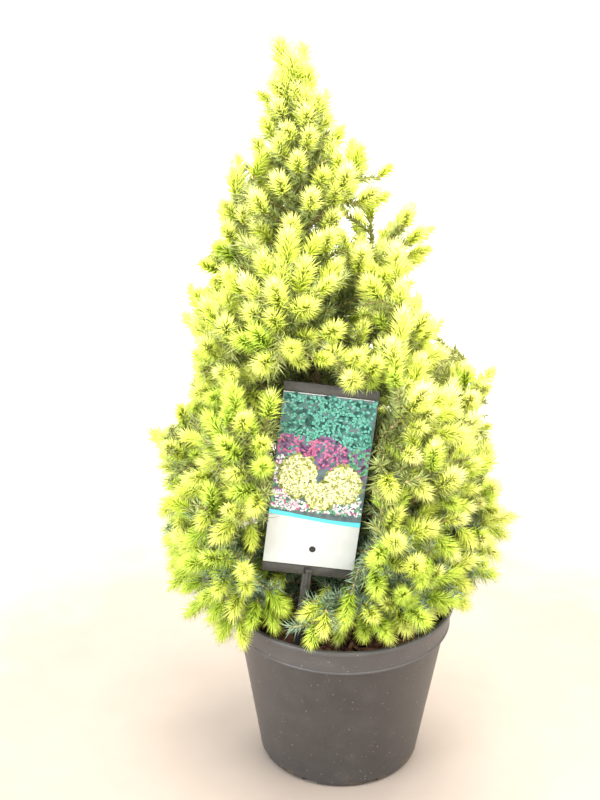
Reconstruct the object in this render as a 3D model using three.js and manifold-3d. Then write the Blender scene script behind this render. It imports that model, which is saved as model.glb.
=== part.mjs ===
// A young dwarf white spruce in its nursery pot, with a picture label on a stake.
// Millimetres, +Z up, +X to the viewer's right, +Y away from the viewer.
// The origin is the centre of the pot's flat underside.
import * as THREE from "three";
import { mergeVertices } from "three/addons/utils/BufferGeometryUtils.js";
import Module from "manifold-3d";

const wasm = await Module();
wasm.setup();

// Driving dimensions.
const CLEARANCE = 0.3; // between pieces that touch
const PLANT_TOP = 609;
const SOIL_TOP = 127;
const CROWN_FOOT = 136;
const SEED = 19620;

const POT = {
  height: 150,
  rimRadius: 95,
  bandFootRadius: 91.5, // outside of the rim band at its lower edge
  bandHeight: 22.5,
  shoulderRadius: 88.5, // outside of the body just under the band
  baseRadius: 69,
  edgeRound: 5, // rounded edge under the body
  wall: 2,
  floor: 3,
  sides: 40,
};
const DRAIN = { count: 8, width: 13, height: 4.5, innerRadius: 56, outerRadius: 75 };

const SOIL = { sides: 24, padRadius: 16, relief: 2.2, rings: [78, 62, 46, 30] };

const TRUNK = {
  lean: 51, // how far the plant's top stands to the left of its foot
  sway: 2.5,
  tipHeight: 556,
  footRadius: 7,
  tipRadius: 1.5,
  flareRadius: 4, // added at the ground and gone at flareHeight
  flareHeight: 22,
  sides: 9,
  steps: 14,
};

const LABEL = {
  width: 73,
  height: 160, // holder, from its top lip to its bottom lip
  lipHeight: 8,
  plate: 1.2,
  card: 0.8,
  lip: 2.4, // how far a lip stands out of the plate's back
  centre: new THREE.Vector3(-21.8, -60, 282),
  rollDegrees: 6.3, // its top leans to the right
  leanDegrees: 2.2, // and away from the viewer
  stakeWidth: 7.5,
  stakeThickness: 2.4,
  stakeDepth: 13, // below the soil
  clipWidth: 6,
  ribOut: 1.6, // how far the stake's rib and the clip stand out
};

// The crown's radius round the trunk at some heights, on each side.
const CROWN = {
  right: [
    [136, 86], [180, 138], [209, 148], [272, 142], [331, 156],
    [372, 119], [550, 37], [590, 21], [609, 7],
  ],
  left: [
    [136, 148], [272, 150], [331, 114], [372, 100], [402, 105],
    [478, 69], [550, 38], [590, 21], [609, 7],
  ],
  front: [
    [136, 104], [180, 122], [272, 128], [331, 118], [402, 98],
    [478, 67], [550, 36], [590, 20], [609, 7],
  ],
  back: [
    [136, 118], [200, 142], [272, 144], [331, 134], [402, 102],
    [478, 67], [550, 36], [590, 20], [609, 7],
  ],
};

const BOUGHS = {
  count: 27,
  lowestTip: 156,
  highestTip: 566,
  topWeight: 40, // crowds the boughs towards the top, in millimetres of crown radius
  firstAzimuth: 0.35,
  azimuthChange: 0.2,
  turnStep: 0.15, // a bough that would meet the label turns aside by this much at a time
  shortest: 8,
  endSpray: 0.8, // of a spray's length, which a limb's reach leaves for the one at its end
  share: 0.48, // of a limb that is bare bough, before its foliage begins
  rise: [0.3, 1.25], // of its reach, at the crown's foot and near its top
  lowestRoot: 141,
  sag: 0.06,
  sides: 5,
  steps: 3,
};
// Two open branches stand out of the crown on the right.
const OPEN_BRANCHES = [
  { height: 462, azimuth: 0.12, reach: 72, rise: 0.75, room: 40 },
  { height: 508, azimuth: -0.05, reach: 38, rise: 1.1, room: 38 },
];

const SHOOT = {
  length: [31, 37], // of a spray of soft needles
  radius: [11.5, 13.2],
  teeth: 4,
  valley: 0.56, // of the radius
  valleyAt: 0.45, // of the length
  toothAt: [0.6, 0.78],
  twigRadius: 0.9,
  rootRadius: 0.5, // where the twig is sunk in its stem
  stemRadius: 1.5, // at a stem's end
  twigLength: [3, 58],
  twigStep: 4,
  deepest: 30, // how far below the crown's face a spray's tip may stay
  spread: [66, 34], // degrees between twig and stem, from the stem's foot to its end
  spreadChange: 16,
  jut: 5, // how unevenly the tips keep to the crown's face
  spacing: 1, // of the two radii, between sprays of one mass
  topScale: 0.78, // of a spray near the plant's top
  joinTurns: 14,
  joinTurn: 0.23, // radians
  sliver: 0.006, // the narrowest face that a join may leave
};
const ATTEMPTS = 80;
const GOLDEN_ANGLE = Math.PI * (3 - Math.sqrt(5));
const UP = new THREE.Vector3(0, 0, 1);
const RIGHT = new THREE.Vector3(1, 0, 0);

function seededRandom(seed) {
  let state = seed >>> 0;
  return () => {
    state = (state + 0x6d2b79f5) >>> 0;
    let t = state;
    t = Math.imul(t ^ (t >>> 15), t | 1);
    t ^= t + Math.imul(t ^ (t >>> 7), t | 61);
    return ((t ^ (t >>> 14)) >>> 0) / 4294967296;
  };
}

const mix = (low, high, share) => low + (high - low) * share;
const clamp01 = (value) => Math.min(1, Math.max(0, value));

// A value read off a short list of [position, value] knots.
function alongKnots(knots, position) {
  if (position <= knots[0][0]) return knots[0][1];
  for (let i = 1; i < knots.length; i++) {
    const [from, low] = knots[i - 1];
    const [to, high] = knots[i];
    if (position <= to) return mix(low, high, (position - from) / (to - from));
  }
  return knots[knots.length - 1][1];
}

// A closed geometry as a solid: only positions kept, vertices merged, collapsed faces dropped.
function solidOf(geometry) {
  const bare = geometry.clone();
  bare.deleteAttribute("normal");
  bare.deleteAttribute("uv");
  const merged = mergeVertices(bare, 1e-3);
  const kept = [];
  for (let i = 0; i < merged.index.count; i += 3) {
    const [a, b, c] = [0, 1, 2].map((k) => merged.index.getX(i + k));
    if (a !== b && b !== c && c !== a) kept.push(a, b, c);
  }
  const vertProperties = new Float32Array(merged.attributes.position.array);
  return new wasm.Manifold(
    new wasm.Mesh({ numProp: 3, vertProperties, triVerts: new Uint32Array(kept) }),
  );
}

function geometryOf(solid) {
  const mesh = solid.getMesh();
  return new THREE.BufferGeometry()
    .setAttribute("position", new THREE.BufferAttribute(mesh.vertProperties, 3))
    .setIndex(new THREE.BufferAttribute(mesh.triVerts, 1));
}

// The largest outer body of a solid, with sealed hollows filled and loose scraps dropped.
function mainBody(solid) {
  return solid.decompose().reduce((best, body) => (body.volume() > best.volume() ? body : best));
}

function finish(name, geometry, color, roughness) {
  const material = new THREE.MeshStandardMaterial({ color, roughness, metalness: 0, flatShading: true });
  const mesh = new THREE.Mesh(geometry, material);
  mesh.name = name;
  return mesh;
}

// Trunk line, crown face and limb lines.

function trunkPoint(height) {
  const share = (height - SOIL_TOP) / (PLANT_TOP - SOIL_TOP);
  const sway = TRUNK.sway * Math.sin(share * 9);
  return new THREE.Vector3(-TRUNK.lean * share + sway, TRUNK.sway * Math.sin(share * 7 + 2), height);
}

function trunkRadius(height) {
  const share = clamp01((height - SOIL_TOP) / (TRUNK.tipHeight - SOIL_TOP));
  const flare = TRUNK.flareRadius * clamp01((SOIL_TOP + TRUNK.flareHeight - height) / TRUNK.flareHeight) ** 2;
  return mix(TRUNK.footRadius, TRUNK.tipRadius, share) + flare;
}

function crownRadius(height, azimuth) {
  if (height < CROWN_FOOT) return 0;
  const east = Math.cos(azimuth);
  const north = Math.sin(azimuth);
  const side = east > 0 ? CROWN.right : CROWN.left;
  const depth = north > 0 ? CROWN.back : CROWN.front;
  return alongKnots(side, height) * east * east + alongKnots(depth, height) * north * north;
}

// How far a point is inside the crown's face, negative outside.
function depthInCrown(point) {
  const axis = trunkPoint(point.z);
  const azimuth = Math.atan2(point.y - axis.y, point.x - axis.x);
  return crownRadius(point.z, azimuth) - Math.hypot(point.x - axis.x, point.y - axis.y);
}

// Heights that share the crown's face out evenly, from its foot up.
function evenHeights(count, low, high) {
  const steps = 400;
  const area = [0];
  for (let i = 1; i <= steps; i++) {
    const height = mix(low, high, i / steps);
    area.push(area[i - 1] + crownRadius(height, Math.PI / 2) + BOUGHS.topWeight);
  }
  return Array.from({ length: count }, (_, k) => {
    const wanted = ((k + 0.5) / count) * area[steps];
    return mix(low, high, area.findIndex((sum) => sum >= wanted) / steps);
  });
}

// A limb leaves the trunk, dips a little and turns up to its end.
function limbLine(root, end) {
  const dip = root.distanceTo(end) * BOUGHS.sag;
  return (share) => new THREE.Vector3()
    .lerpVectors(root, end, share)
    .addScaledVector(UP, -4 * dip * share * (1 - share));
}

function directionOn(line, share) {
  const step = 0.01;
  return line(share + step).sub(line(share - step)).normalize();
}

// Two directions square to a given one.
function crossFrame(direction) {
  const reference = Math.abs(direction.z) > 0.9 ? RIGHT : UP;
  const side = new THREE.Vector3().crossVectors(direction, reference).normalize();
  return [side, new THREE.Vector3().crossVectors(side, direction)];
}

// A round bar bent along a line, with its own radius at each share of it.
function limbSolid(line, radiusAt, sides, steps, from = 0, to = 1) {
  const geometry = new THREE.CylinderGeometry(1, 1, 1, sides, steps);
  const place = geometry.attributes.position;
  const [side] = crossFrame(line(to).sub(line(from)).normalize());
  for (let i = 0; i < place.count; i++) {
    const share = mix(from, to, place.getY(i) + 0.5);
    const along = directionOn(line, share);
    const across = side.clone().addScaledVector(along, -side.dot(along)).normalize();
    const above = new THREE.Vector3().crossVectors(across, along);
    const radius = radiusAt(share);
    const point = line(share)
      .addScaledVector(across, place.getX(i) * radius)
      .addScaledVector(above, place.getZ(i) * radius);
    place.setXYZ(i, point.x, point.y, point.z);
  }
  return solidOf(geometry);
}

// Balls that a limb, twig or spray fits in, for telling what would touch.
function ballsAlong(from, to, radius, step) {
  const count = Math.max(1, Math.ceil(from.distanceTo(to) / step));
  return Array.from({ length: count + 1 }, (_, i) => ({
    centre: new THREE.Vector3().lerpVectors(from, to, i / count),
    radius,
  }));
}

function sprayBalls(start, direction, length, radius) {
  return [[0.3, 0.5], [0.62, 1], [0.9, 0.45]].map(([at, size]) => ({
    centre: start.clone().addScaledVector(direction, at * length),
    radius: size * radius,
  }));
}

// Label frame: across, out of its back, and up along it.
function labelFrame() {
  const turn = new THREE.Euler(
    THREE.MathUtils.degToRad(-LABEL.leanDegrees),
    THREE.MathUtils.degToRad(LABEL.rollDegrees),
    0,
  );
  return new THREE.Matrix4().makeRotationFromEuler(turn).setPosition(LABEL.centre);
}

const labelMatrix = labelFrame();
const labelInverse = labelMatrix.clone().invert();

// Nothing grows through the label or in front of its picture, nor into the pot or the soil.
function isBlocked({ centre, radius }) {
  const local = centre.clone().applyMatrix4(labelInverse);
  const behind = local.y - radius > LABEL.lip;
  const beside = Math.abs(local.x) > LABEL.width / 2 + radius - 4;
  const past = Math.abs(local.z) > LABEL.height / 2 + radius - 2;
  if (!behind && !beside && !past) return true;
  const nearStake = Math.abs(local.x) < LABEL.stakeWidth / 2 + radius + 1;
  if (local.z < 0 && nearStake && Math.abs(local.y) < radius + 4) return true;
  const touchesPlate = Math.abs(local.y) < radius + LABEL.lip && Math.abs(local.x) < LABEL.width / 2 + radius;
  if (touchesPlate && Math.abs(local.z) < LABEL.height / 2 + radius) return true;
  const fromAxis = Math.hypot(centre.x, centre.y);
  const overSoil = fromAxis - radius < POT.rimRadius - 6;
  if (overSoil && centre.z - radius < SOIL_TOP + SOIL.relief + 1) return true;
  const overRim = fromAxis - radius < POT.rimRadius + 1 && fromAxis + radius > POT.rimRadius - 8;
  return overRim && centre.z - radius < POT.height + 1;
}

// Pot and soil.

function lathe(points, sides) {
  const profile = points.map(([radius, height]) => new THREE.Vector2(radius, height));
  return new THREE.LatheGeometry(profile, sides).rotateX(Math.PI / 2);
}

function insideRadius(height) {
  return mix(POT.baseRadius, POT.shoulderRadius, height / (POT.height - POT.bandHeight)) - POT.wall;
}

function makePot() {
  const bandFoot = POT.height - POT.bandHeight;
  const edge = [];
  for (let i = 0; i <= 3; i++) {
    const angle = (i / 3) * (Math.PI / 2);
    edge.push([
      POT.baseRadius - POT.edgeRound + POT.edgeRound * Math.sin(angle),
      POT.edgeRound * (1 - Math.cos(angle)),
    ]);
  }
  const profile = [
    [0, 0],
    ...edge,
    [POT.shoulderRadius, bandFoot],
    [POT.bandFootRadius, bandFoot + 1.2],
    [POT.rimRadius - 1.2, POT.height - 3.5],
    [POT.rimRadius, POT.height - 2.4],
    [POT.rimRadius - 0.3, POT.height - 0.5],
    [POT.rimRadius - 1.2, POT.height],
    [POT.rimRadius - POT.wall - 1.2, POT.height],
    [POT.bandFootRadius - POT.wall, bandFoot + 3],
    [insideRadius(bandFoot), bandFoot],
    [insideRadius(POT.floor + POT.edgeRound), POT.floor + POT.edgeRound],
    [insideRadius(0) - POT.edgeRound + 1, POT.floor],
    [0, POT.floor],
  ];
  let pot = solidOf(lathe(profile, POT.sides));
  for (let i = 0; i < DRAIN.count; i++) {
    const length = DRAIN.outerRadius - DRAIN.innerRadius;
    const slot = new THREE.BoxGeometry(length, DRAIN.width, 2 * DRAIN.height)
      .translate((DRAIN.outerRadius + DRAIN.innerRadius) / 2, 0, 0)
      .rotateZ(((i + 0.5) / DRAIN.count) * 2 * Math.PI);
    pot = pot.subtract(solidOf(slot));
  }
  return pot;
}

function makeSoil() {
  const random = seededRandom(SEED + 1);
  const bandFoot = POT.height - POT.bandHeight;
  const gap = CLEARANCE + 0.3;
  const topRadius = insideRadius(bandFoot) - gap;
  const bottom = DRAIN.height + CLEARANCE;
  const profile = [
    [0, bottom],
    [insideRadius(bottom) - POT.edgeRound, bottom],
    [insideRadius(bottom + POT.edgeRound) - gap, bottom + POT.edgeRound],
    [topRadius, SOIL_TOP - 1],
    ...SOIL.rings.map((radius) => [radius, SOIL_TOP]),
    [SOIL.padRadius, SOIL_TOP],
    [0, SOIL_TOP],
  ];
  const geometry = lathe(profile, SOIL.sides);
  geometry.deleteAttribute("normal");
  geometry.deleteAttribute("uv");
  const merged = mergeVertices(geometry, 1e-3);
  const place = merged.attributes.position;
  for (let i = 0; i < place.count; i++) {
    const radius = Math.hypot(place.getX(i), place.getY(i));
    const onTop = place.getZ(i) > SOIL_TOP - 0.5 && radius > SOIL.padRadius + 1;
    if (onTop) place.setZ(i, SOIL_TOP + SOIL.relief * (2 * random() - 1));
  }
  return solidOf(merged);
}

// Label: a holder moulded with its stake, and the printed card between its lips.

function labelBox(width, thickness, height, x, y, z) {
  const box = new THREE.BoxGeometry(width, thickness, height).translate(x, y, z);
  return solidOf(box.applyMatrix4(labelMatrix));
}

function stakeBottom() {
  const foot = (LABEL.centre.z - SOIL_TOP) / Math.cos(THREE.MathUtils.degToRad(LABEL.rollDegrees));
  return -(foot + LABEL.stakeDepth);
}

function makeHolder() {
  const plateY = LABEL.plate / 2;
  const lipZ = LABEL.height / 2 - LABEL.lipHeight / 2;
  const lipY = LABEL.plate - LABEL.lip / 2;
  const stakeTop = -LABEL.height / 2 + LABEL.lipHeight;
  const stakeHeight = stakeTop - stakeBottom();
  const stakeZ = stakeTop - stakeHeight / 2;
  const parts = [
    labelBox(LABEL.width, LABEL.plate, LABEL.height, 0, plateY, 0),
    labelBox(LABEL.width, LABEL.lip, LABEL.lipHeight, 0, lipY, lipZ),
    labelBox(LABEL.width, LABEL.lip, LABEL.lipHeight, 0, lipY, -lipZ),
    labelBox(LABEL.stakeWidth, LABEL.stakeThickness, stakeHeight, 0, 0, stakeZ),
    labelBox(LABEL.stakeWidth / 3, LABEL.stakeThickness + LABEL.ribOut, stakeHeight - 24, 0, 0, stakeZ + 8),
    labelBox(LABEL.clipWidth, LABEL.lip + LABEL.ribOut, 3, 1.5, lipY - LABEL.ribOut / 2, -lipZ),
  ];
  return wasm.Manifold.union(parts);
}

function makeCard() {
  const height = LABEL.height - 2 * LABEL.lipHeight - 2 * CLEARANCE;
  return labelBox(LABEL.width - 1, LABEL.card, height, 0, -LABEL.card / 2 - CLEARANCE, 0);
}

function stakePocket() {
  const wide = LABEL.stakeWidth + 2 * CLEARANCE;
  const thick = LABEL.stakeThickness + LABEL.ribOut + 2 * CLEARANCE;
  const depth = 2 * LABEL.stakeDepth + CLEARANCE;
  return labelBox(wide, thick, depth, 0, 0, stakeBottom() - CLEARANCE + depth / 2);
}

// Limbs: where each one leaves the trunk, ends, and how thick it is.

function planLimb(name, height, azimuth, reach, rise) {
  const axis = trunkPoint(height);
  const end = new THREE.Vector3(
    axis.x + reach * Math.cos(azimuth),
    axis.y + reach * Math.sin(azimuth),
    height,
  );
  const rootHeight = Math.max(BOUGHS.lowestRoot, height - reach * rise);
  const root = trunkPoint(rootHeight);
  const line = limbLine(root, end);
  const length = root.distanceTo(end);
  const thick = 0.9 + 0.26 * Math.sqrt(length);
  const radiusAt = (share) => mix(thick, SHOOT.stemRadius, clamp01(share) ** 0.8);
  return withLastShoot({ name, line, length, radiusAt, end, from: BOUGHS.share });
}

// The spray at a limb's own end, and the balls that its bough, stem and this spray fit in.
function withLastShoot(limb) {
  const direction = sprayDirection(directionOn(limb.line, 1), limb.end.z);
  const length = SHOOT.length[1] * sprayScale(limb.end.z);
  const radius = SHOOT.radius[1] * sprayScale(limb.end.z);
  const shoot = { root: limb.line(0.97), start: limb.end, direction, length, radius, spin: 0.4 };
  shoot.balls = sprayBalls(limb.end, direction, length, radius);
  const stemBalls = ballsAlong(limb.line(limb.from), limb.end, 2.4, 3);
  const boughRadius = limb.radiusAt(0.1) + 1;
  const boughBalls = limb.isLeader ? [] : ballsAlong(limb.line(0.2), limb.line(limb.from), boughRadius, 3);
  return { ...limb, lastShoot: shoot, ownBalls: [...shoot.balls, ...stemBalls], boughBalls };
}

function planLimbs(random) {
  const placed = [];
  const keep = (limb) => {
    placed.push(...limb.ownBalls, ...limb.boughBalls);
    return limb;
  };
  const heights = evenHeights(BOUGHS.count, BOUGHS.lowestTip, BOUGHS.highestTip);
  const firstAbove = (branch) => heights.findIndex((height) => height > branch.height);
  const openAt = new Map(OPEN_BRANCHES.map((branch) => [firstAbove(branch), branch]));
  return heights.map((height, k) => {
    const name = String(k + 1).padStart(2, "0");
    const open = openAt.get(k);
    if (open) {
      const limb = freeLimb({ ...open, name, reachAt: () => open.reach }, placed);
      return keep({ ...limb, room: open.room });
    }
    const azimuth = BOUGHS.firstAzimuth + k * GOLDEN_ANGLE + BOUGHS.azimuthChange * (random() - 0.5);
    const share = (height - BOUGHS.lowestTip) / (BOUGHS.highestTip - BOUGHS.lowestTip);
    const reachAt = (turned) => {
      const reach = crownRadius(height, turned) - BOUGHS.endSpray * SHOOT.length[0] * sprayScale(height);
      return Math.max(reach, BOUGHS.shortest);
    };
    return keep(freeLimb({ name, height, azimuth, reachAt, rise: mix(...BOUGHS.rise, share) }, placed));
  });
}

// A limb that would meet the label, the pot or another limb turns aside, or gets shorter.
function freeLimb({ name, height, azimuth, reachAt, rise }, placed) {
  for (const shorter of [1, 0.9, 0.8, 0.7, 0.6, 0.5]) {
    for (const turn of [0, 1, -1, 2, -2, 3, -3, 4, -4]) {
      const turned = azimuth + turn * BOUGHS.turnStep;
      const limb = planLimb(name, height, turned, reachAt(turned) * shorter, rise);
      const meets = (ball) => isBlocked(ball) || touches(ball, placed, CLEARANCE);
      const crosses = (ball) => touches(ball, placed, 0);
      if (!limb.ownBalls.some(meets) && !limb.boughBalls.some(crosses)) return limb;
    }
  }
  throw new Error("no room for limb " + name);
}

// The trunk's foot is a flat, level cut just clear of the soil.
function makeTrunk() {
  const low = SOIL_TOP - 4;
  const line = (share) => trunkPoint(mix(low, TRUNK.tipHeight, share));
  const radiusAt = (share) => trunkRadius(mix(low, TRUNK.tipHeight, share));
  const trunk = limbSolid(line, radiusAt, TRUNK.sides, TRUNK.steps);
  return trunk.trimByPlane([0, 0, 1], SOIL_TOP + CLEARANCE);
}

function trunkBalls() {
  const balls = [];
  for (let height = SOIL_TOP; height < TRUNK.tipHeight; height += 4) {
    balls.push({ centre: trunkPoint(height), radius: trunkRadius(height) + 1 });
  }
  return balls;
}

// The trunk a little thicker, which cuts each bough's seat.
function makeTrunkSleeve() {
  const line = (share) => trunkPoint(mix(SOIL_TOP, TRUNK.tipHeight + 2, share));
  const radiusAt = (share) => trunkRadius(mix(SOIL_TOP, TRUNK.tipHeight, share)) + CLEARANCE + 0.1;
  return limbSolid(line, radiusAt, TRUNK.sides, TRUNK.steps);
}

// A spray on its twig: a three-sided twig, then a slim core that needle teeth stand out of.

function zipper(faces, first, firstCount, second, secondCount) {
  let i = 0;
  let j = 0;
  while (i < firstCount || j < secondCount) {
    const a = first + (i % firstCount);
    const b = second + (j % secondCount);
    if (j >= secondCount || (i < firstCount && (i + 1) / firstCount <= (j + 1) / secondCount)) {
      faces.push(a, b, first + ((i + 1) % firstCount));
      i++;
    } else {
      faces.push(a, b, second + ((j + 1) % secondCount));
      j++;
    }
  }
}

function shootSolid({ root, start, direction, length, radius, spin }) {
  const twigDirection = start.clone().sub(root).normalize();
  const places = [];
  const ring = (centre, along, count, reachOf) => {
    const [side, above] = crossFrame(along);
    for (let i = 0; i < count; i++) {
      const angle = spin + (i / count) * 2 * Math.PI;
      const [at, out] = reachOf(i);
      const point = centre.clone().addScaledVector(along, at);
      point.addScaledVector(side, out * Math.cos(angle)).addScaledVector(above, out * Math.sin(angle));
      places.push(point.x, point.y, point.z);
    }
  };
  const { teeth } = SHOOT;
  ring(root, twigDirection, 3, () => [0, SHOOT.rootRadius]);
  ring(start, direction, 3, () => [0, SHOOT.twigRadius]);
  ring(start, direction, 2 * teeth, (i) => {
    if (i % 2) return [SHOOT.valleyAt * length, SHOOT.valley * radius];
    return [mix(...SHOOT.toothAt, (i / 2) % 2) * length, radius];
  });
  const tip = start.clone().addScaledVector(direction, length);
  places.push(tip.x, tip.y, tip.z);
  const faces = [0, 1, 2];
  zipper(faces, 0, 3, 3, 3);
  zipper(faces, 3, 3, 6, 2 * teeth);
  const last = 6 + 2 * teeth;
  for (let i = 0; i < 2 * teeth; i++) faces.push(6 + i, last, 6 + ((i + 1) % (2 * teeth)));
  const geometry = new THREE.BufferGeometry()
    .setAttribute("position", new THREE.Float32BufferAttribute(places, 3))
    .setIndex(faces);
  let solid = solidOf(geometry);
  if (solid.volume() < 0) {
    faces.reverse();
    solid = solidOf(geometry.setIndex(faces));
  }
  return solid;
}

// Sprays stand up near the crown's top and hang at its foot.
function sprayDirection(twigDirection, height) {
  const lift = alongKnots([[140, -0.9], [210, -0.35], [300, 0.05], [420, 0.45], [600, 1.2]], height);
  return twigDirection.clone().addScaledVector(UP, lift).normalize();
}

function sprayScale(height) {
  return alongKnots([[400, 1], [560, SHOOT.topScale]], height);
}

// The sprays that one twig could end in, the furthest out first.
function shootsToTry(limb, attempt, random) {
  const along = ((attempt * 0.618034) % 1) * 0.97;
  const share = mix(limb.from + 0.03, 1, along);
  const stemDirection = directionOn(limb.line, share);
  const [side, above] = crossFrame(stemDirection);
  const turn = attempt * GOLDEN_ANGLE + 0.8 * random();
  const spreadDegrees = mix(...SHOOT.spread, along) + SHOOT.spreadChange * (random() - 0.5);
  const spread = THREE.MathUtils.degToRad(spreadDegrees);
  const twigDirection = stemDirection.clone().multiplyScalar(Math.cos(spread))
    .addScaledVector(side, Math.sin(spread) * Math.cos(turn))
    .addScaledVector(above, Math.sin(spread) * Math.sin(turn));
  const root = limb.line(share);
  const scale = sprayScale(root.z);
  const length = mix(...SHOOT.length, random()) * scale;
  const radius = mix(...SHOOT.radius, random()) * scale;
  const spin = random() * 2;
  const jut = SHOOT.jut * (random() - 0.6);
  const found = [];
  for (let reach = SHOOT.twigLength[0]; reach <= SHOOT.twigLength[1]; reach += SHOOT.twigStep) {
    const start = root.clone().addScaledVector(twigDirection, reach);
    const direction = sprayDirection(twigDirection, start.z);
    const tip = start.clone().addScaledVector(direction, length);
    const depth = limb.room ? limb.room - tip.distanceTo(limb.end) : depthInCrown(tip) + jut;
    if (depth < 0) break;
    if (depth < SHOOT.deepest) found.unshift({ root, start, direction, length, radius, spin });
  }
  for (const shoot of found) {
    shoot.balls = sprayBalls(shoot.start, shoot.direction, length, radius);
    const twigStart = root.clone().addScaledVector(twigDirection, Math.min(5, root.distanceTo(shoot.start)));
    shoot.all = [...shoot.balls, ...ballsAlong(twigStart, shoot.start, 1.9, 3)];
  }
  return found;
}

function touches(ball, others, gap) {
  return others.some((other) => {
    const reach = ball.radius + other.radius + gap;
    return ball.centre.distanceToSquared(other.centre) < reach * reach;
  });
}

function isFree(shoot, index, masses, limbBalls) {
  if (shoot.all.some(isBlocked)) return false;
  if (shoot.balls.some((ball) => touches(ball, limbBalls, CLEARANCE))) return false;
  const others = masses.flatMap((mass, k) => (k === index ? [] : mass.balls));
  if (shoot.all.some((ball) => touches(ball, others, CLEARANCE))) return false;
  const middle = shoot.balls[1];
  return masses[index].shoots.every((own) => {
    const gap = SHOOT.spacing * (middle.radius + own.balls[1].radius);
    return middle.centre.distanceTo(own.balls[1].centre) > gap;
  });
}

function growMasses(limbs, random) {
  const limbBalls = [...trunkBalls(), ...limbs.flatMap((limb) => limb.boughBalls)];
  const masses = limbs.map((limb) => ({ limb, shoots: [limb.lastShoot], balls: [...limb.ownBalls] }));
  for (let attempt = 0; attempt < ATTEMPTS; attempt++) {
    masses.forEach((mass, index) => {
      const tries = shootsToTry(mass.limb, attempt, random);
      const shoot = tries.find((one) => isFree(one, index, masses, limbBalls));
      if (!shoot) return;
      mass.shoots.push(shoot);
      mass.balls.push(...shoot.all);
    });
  }
  return masses;
}

function makeBough(limb, sleeve) {
  const bough = limbSolid(limb.line, limb.radiusAt, BOUGHS.sides, BOUGHS.steps, 0, limb.from);
  return mainBody(bough.subtract(sleeve));
}

// The height of a solid's narrowest triangle.
function narrowestFace(solid) {
  const mesh = solid.getMesh();
  const corner = (k) => new THREE.Vector3().fromArray(mesh.vertProperties, 3 * mesh.triVerts[k]);
  let narrowest = Infinity;
  for (let k = 0; k < mesh.triVerts.length; k += 3) {
    const [a, b, c] = [corner(k), corner(k + 1), corner(k + 2)];
    const longest = Math.max(a.distanceTo(b), b.distanceTo(c), c.distanceTo(a));
    const doubleArea = b.sub(a).cross(c.sub(a)).length();
    narrowest = Math.min(narrowest, doubleArea / longest);
  }
  return narrowest;
}

// A spray whose join would leave a sliver of a face is turned on its twig, or else left out.
function joinSpray(body, shoot) {
  for (let turn = 0; turn < SHOOT.joinTurns; turn++) {
    const joined = mainBody(body.add(shootSolid({ ...shoot, spin: shoot.spin + turn * SHOOT.joinTurn })));
    if (narrowestFace(joined) > SHOOT.sliver) return joined;
  }
  return body;
}

function makeMass({ limb, shoots }) {
  const from = limb.from + CLEARANCE / limb.length;
  const stem = limbSolid(limb.line, limb.radiusAt, 3, 2, from, 0.99);
  return shoots.reduce(joinSpray, stem);
}

// The leader is the foliage that goes on from the trunk's tip.
function planLeader() {
  const stemTop = PLANT_TOP - SHOOT.length[1] * SHOOT.topScale;
  const line = (share) => trunkPoint(mix(TRUNK.tipHeight, stemTop, share));
  const length = stemTop - TRUNK.tipHeight;
  const radiusAt = () => TRUNK.tipRadius;
  return withLastShoot({ name: "leader", line, length, radiusAt, end: line(1), from: 0, isLeader: true });
}

const plant = new THREE.Group();
const random = seededRandom(SEED);
const limbs = [...planLimbs(random), planLeader()];
const masses = growMasses(limbs, random);
const sleeve = makeTrunkSleeve();
const lime = new THREE.Color("#c8d84e");
const paleLime = new THREE.Color("#e2ea86");

plant.add(finish("pot", geometryOf(makePot()), "#6a6663", 0.42));
plant.add(finish("soil", geometryOf(makeSoil().subtract(stakePocket())), "#4a3327", 0.95));
plant.add(finish("label_holder", geometryOf(makeHolder()), "#3b3a39", 0.5));
plant.add(finish("label_card", geometryOf(makeCard()), "#e8ecec", 0.35));
plant.add(finish("trunk", geometryOf(makeTrunk()), "#7d6147", 0.85));
for (const limb of limbs) {
  if (limb.isLeader) continue;
  plant.add(finish("bough_" + limb.name, geometryOf(makeBough(limb, sleeve)), "#8f7150", 0.8));
}
for (const mass of masses) {
  const name = mass.limb.isLeader ? "foliage_leader" : "foliage_" + mass.limb.name;
  const color = lime.clone().lerp(paleLime, clamp01((mass.limb.end.z - CROWN_FOOT) / 450));
  plant.add(finish(name, geometryOf(makeMass(mass)), color, 0.6));
}

export default plant;
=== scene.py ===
# %% [markdown]
# A young dwarf white spruce in its nursery pot, in spring growth. Each twig ends in a
# soft lime tuft, and behind it last year's needles are short, stiff and grey-green. Such
# a plant could be scattered from one modelled twig. Here it is grown by a rule, so that
# every tuft sits on a twig that leads back to the trunk, and no two are the same.
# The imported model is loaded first. It gives the frame, in metres, that each piece keeps.

import math

import bmesh
import bpy
import numpy as np
from mathutils import Matrix, Vector, noise


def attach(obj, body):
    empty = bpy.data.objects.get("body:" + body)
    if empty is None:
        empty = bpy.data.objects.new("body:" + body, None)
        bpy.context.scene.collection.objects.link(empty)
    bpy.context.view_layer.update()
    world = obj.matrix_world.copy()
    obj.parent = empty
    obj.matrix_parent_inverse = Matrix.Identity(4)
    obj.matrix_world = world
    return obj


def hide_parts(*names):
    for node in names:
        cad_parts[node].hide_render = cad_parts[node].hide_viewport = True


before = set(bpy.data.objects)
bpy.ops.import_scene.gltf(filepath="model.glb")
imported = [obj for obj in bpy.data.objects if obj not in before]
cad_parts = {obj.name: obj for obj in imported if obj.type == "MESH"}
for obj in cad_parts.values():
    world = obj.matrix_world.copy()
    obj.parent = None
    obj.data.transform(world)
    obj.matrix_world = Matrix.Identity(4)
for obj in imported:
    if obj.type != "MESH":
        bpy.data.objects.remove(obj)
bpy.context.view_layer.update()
node_names = list(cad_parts)
MM = 0.001

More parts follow.
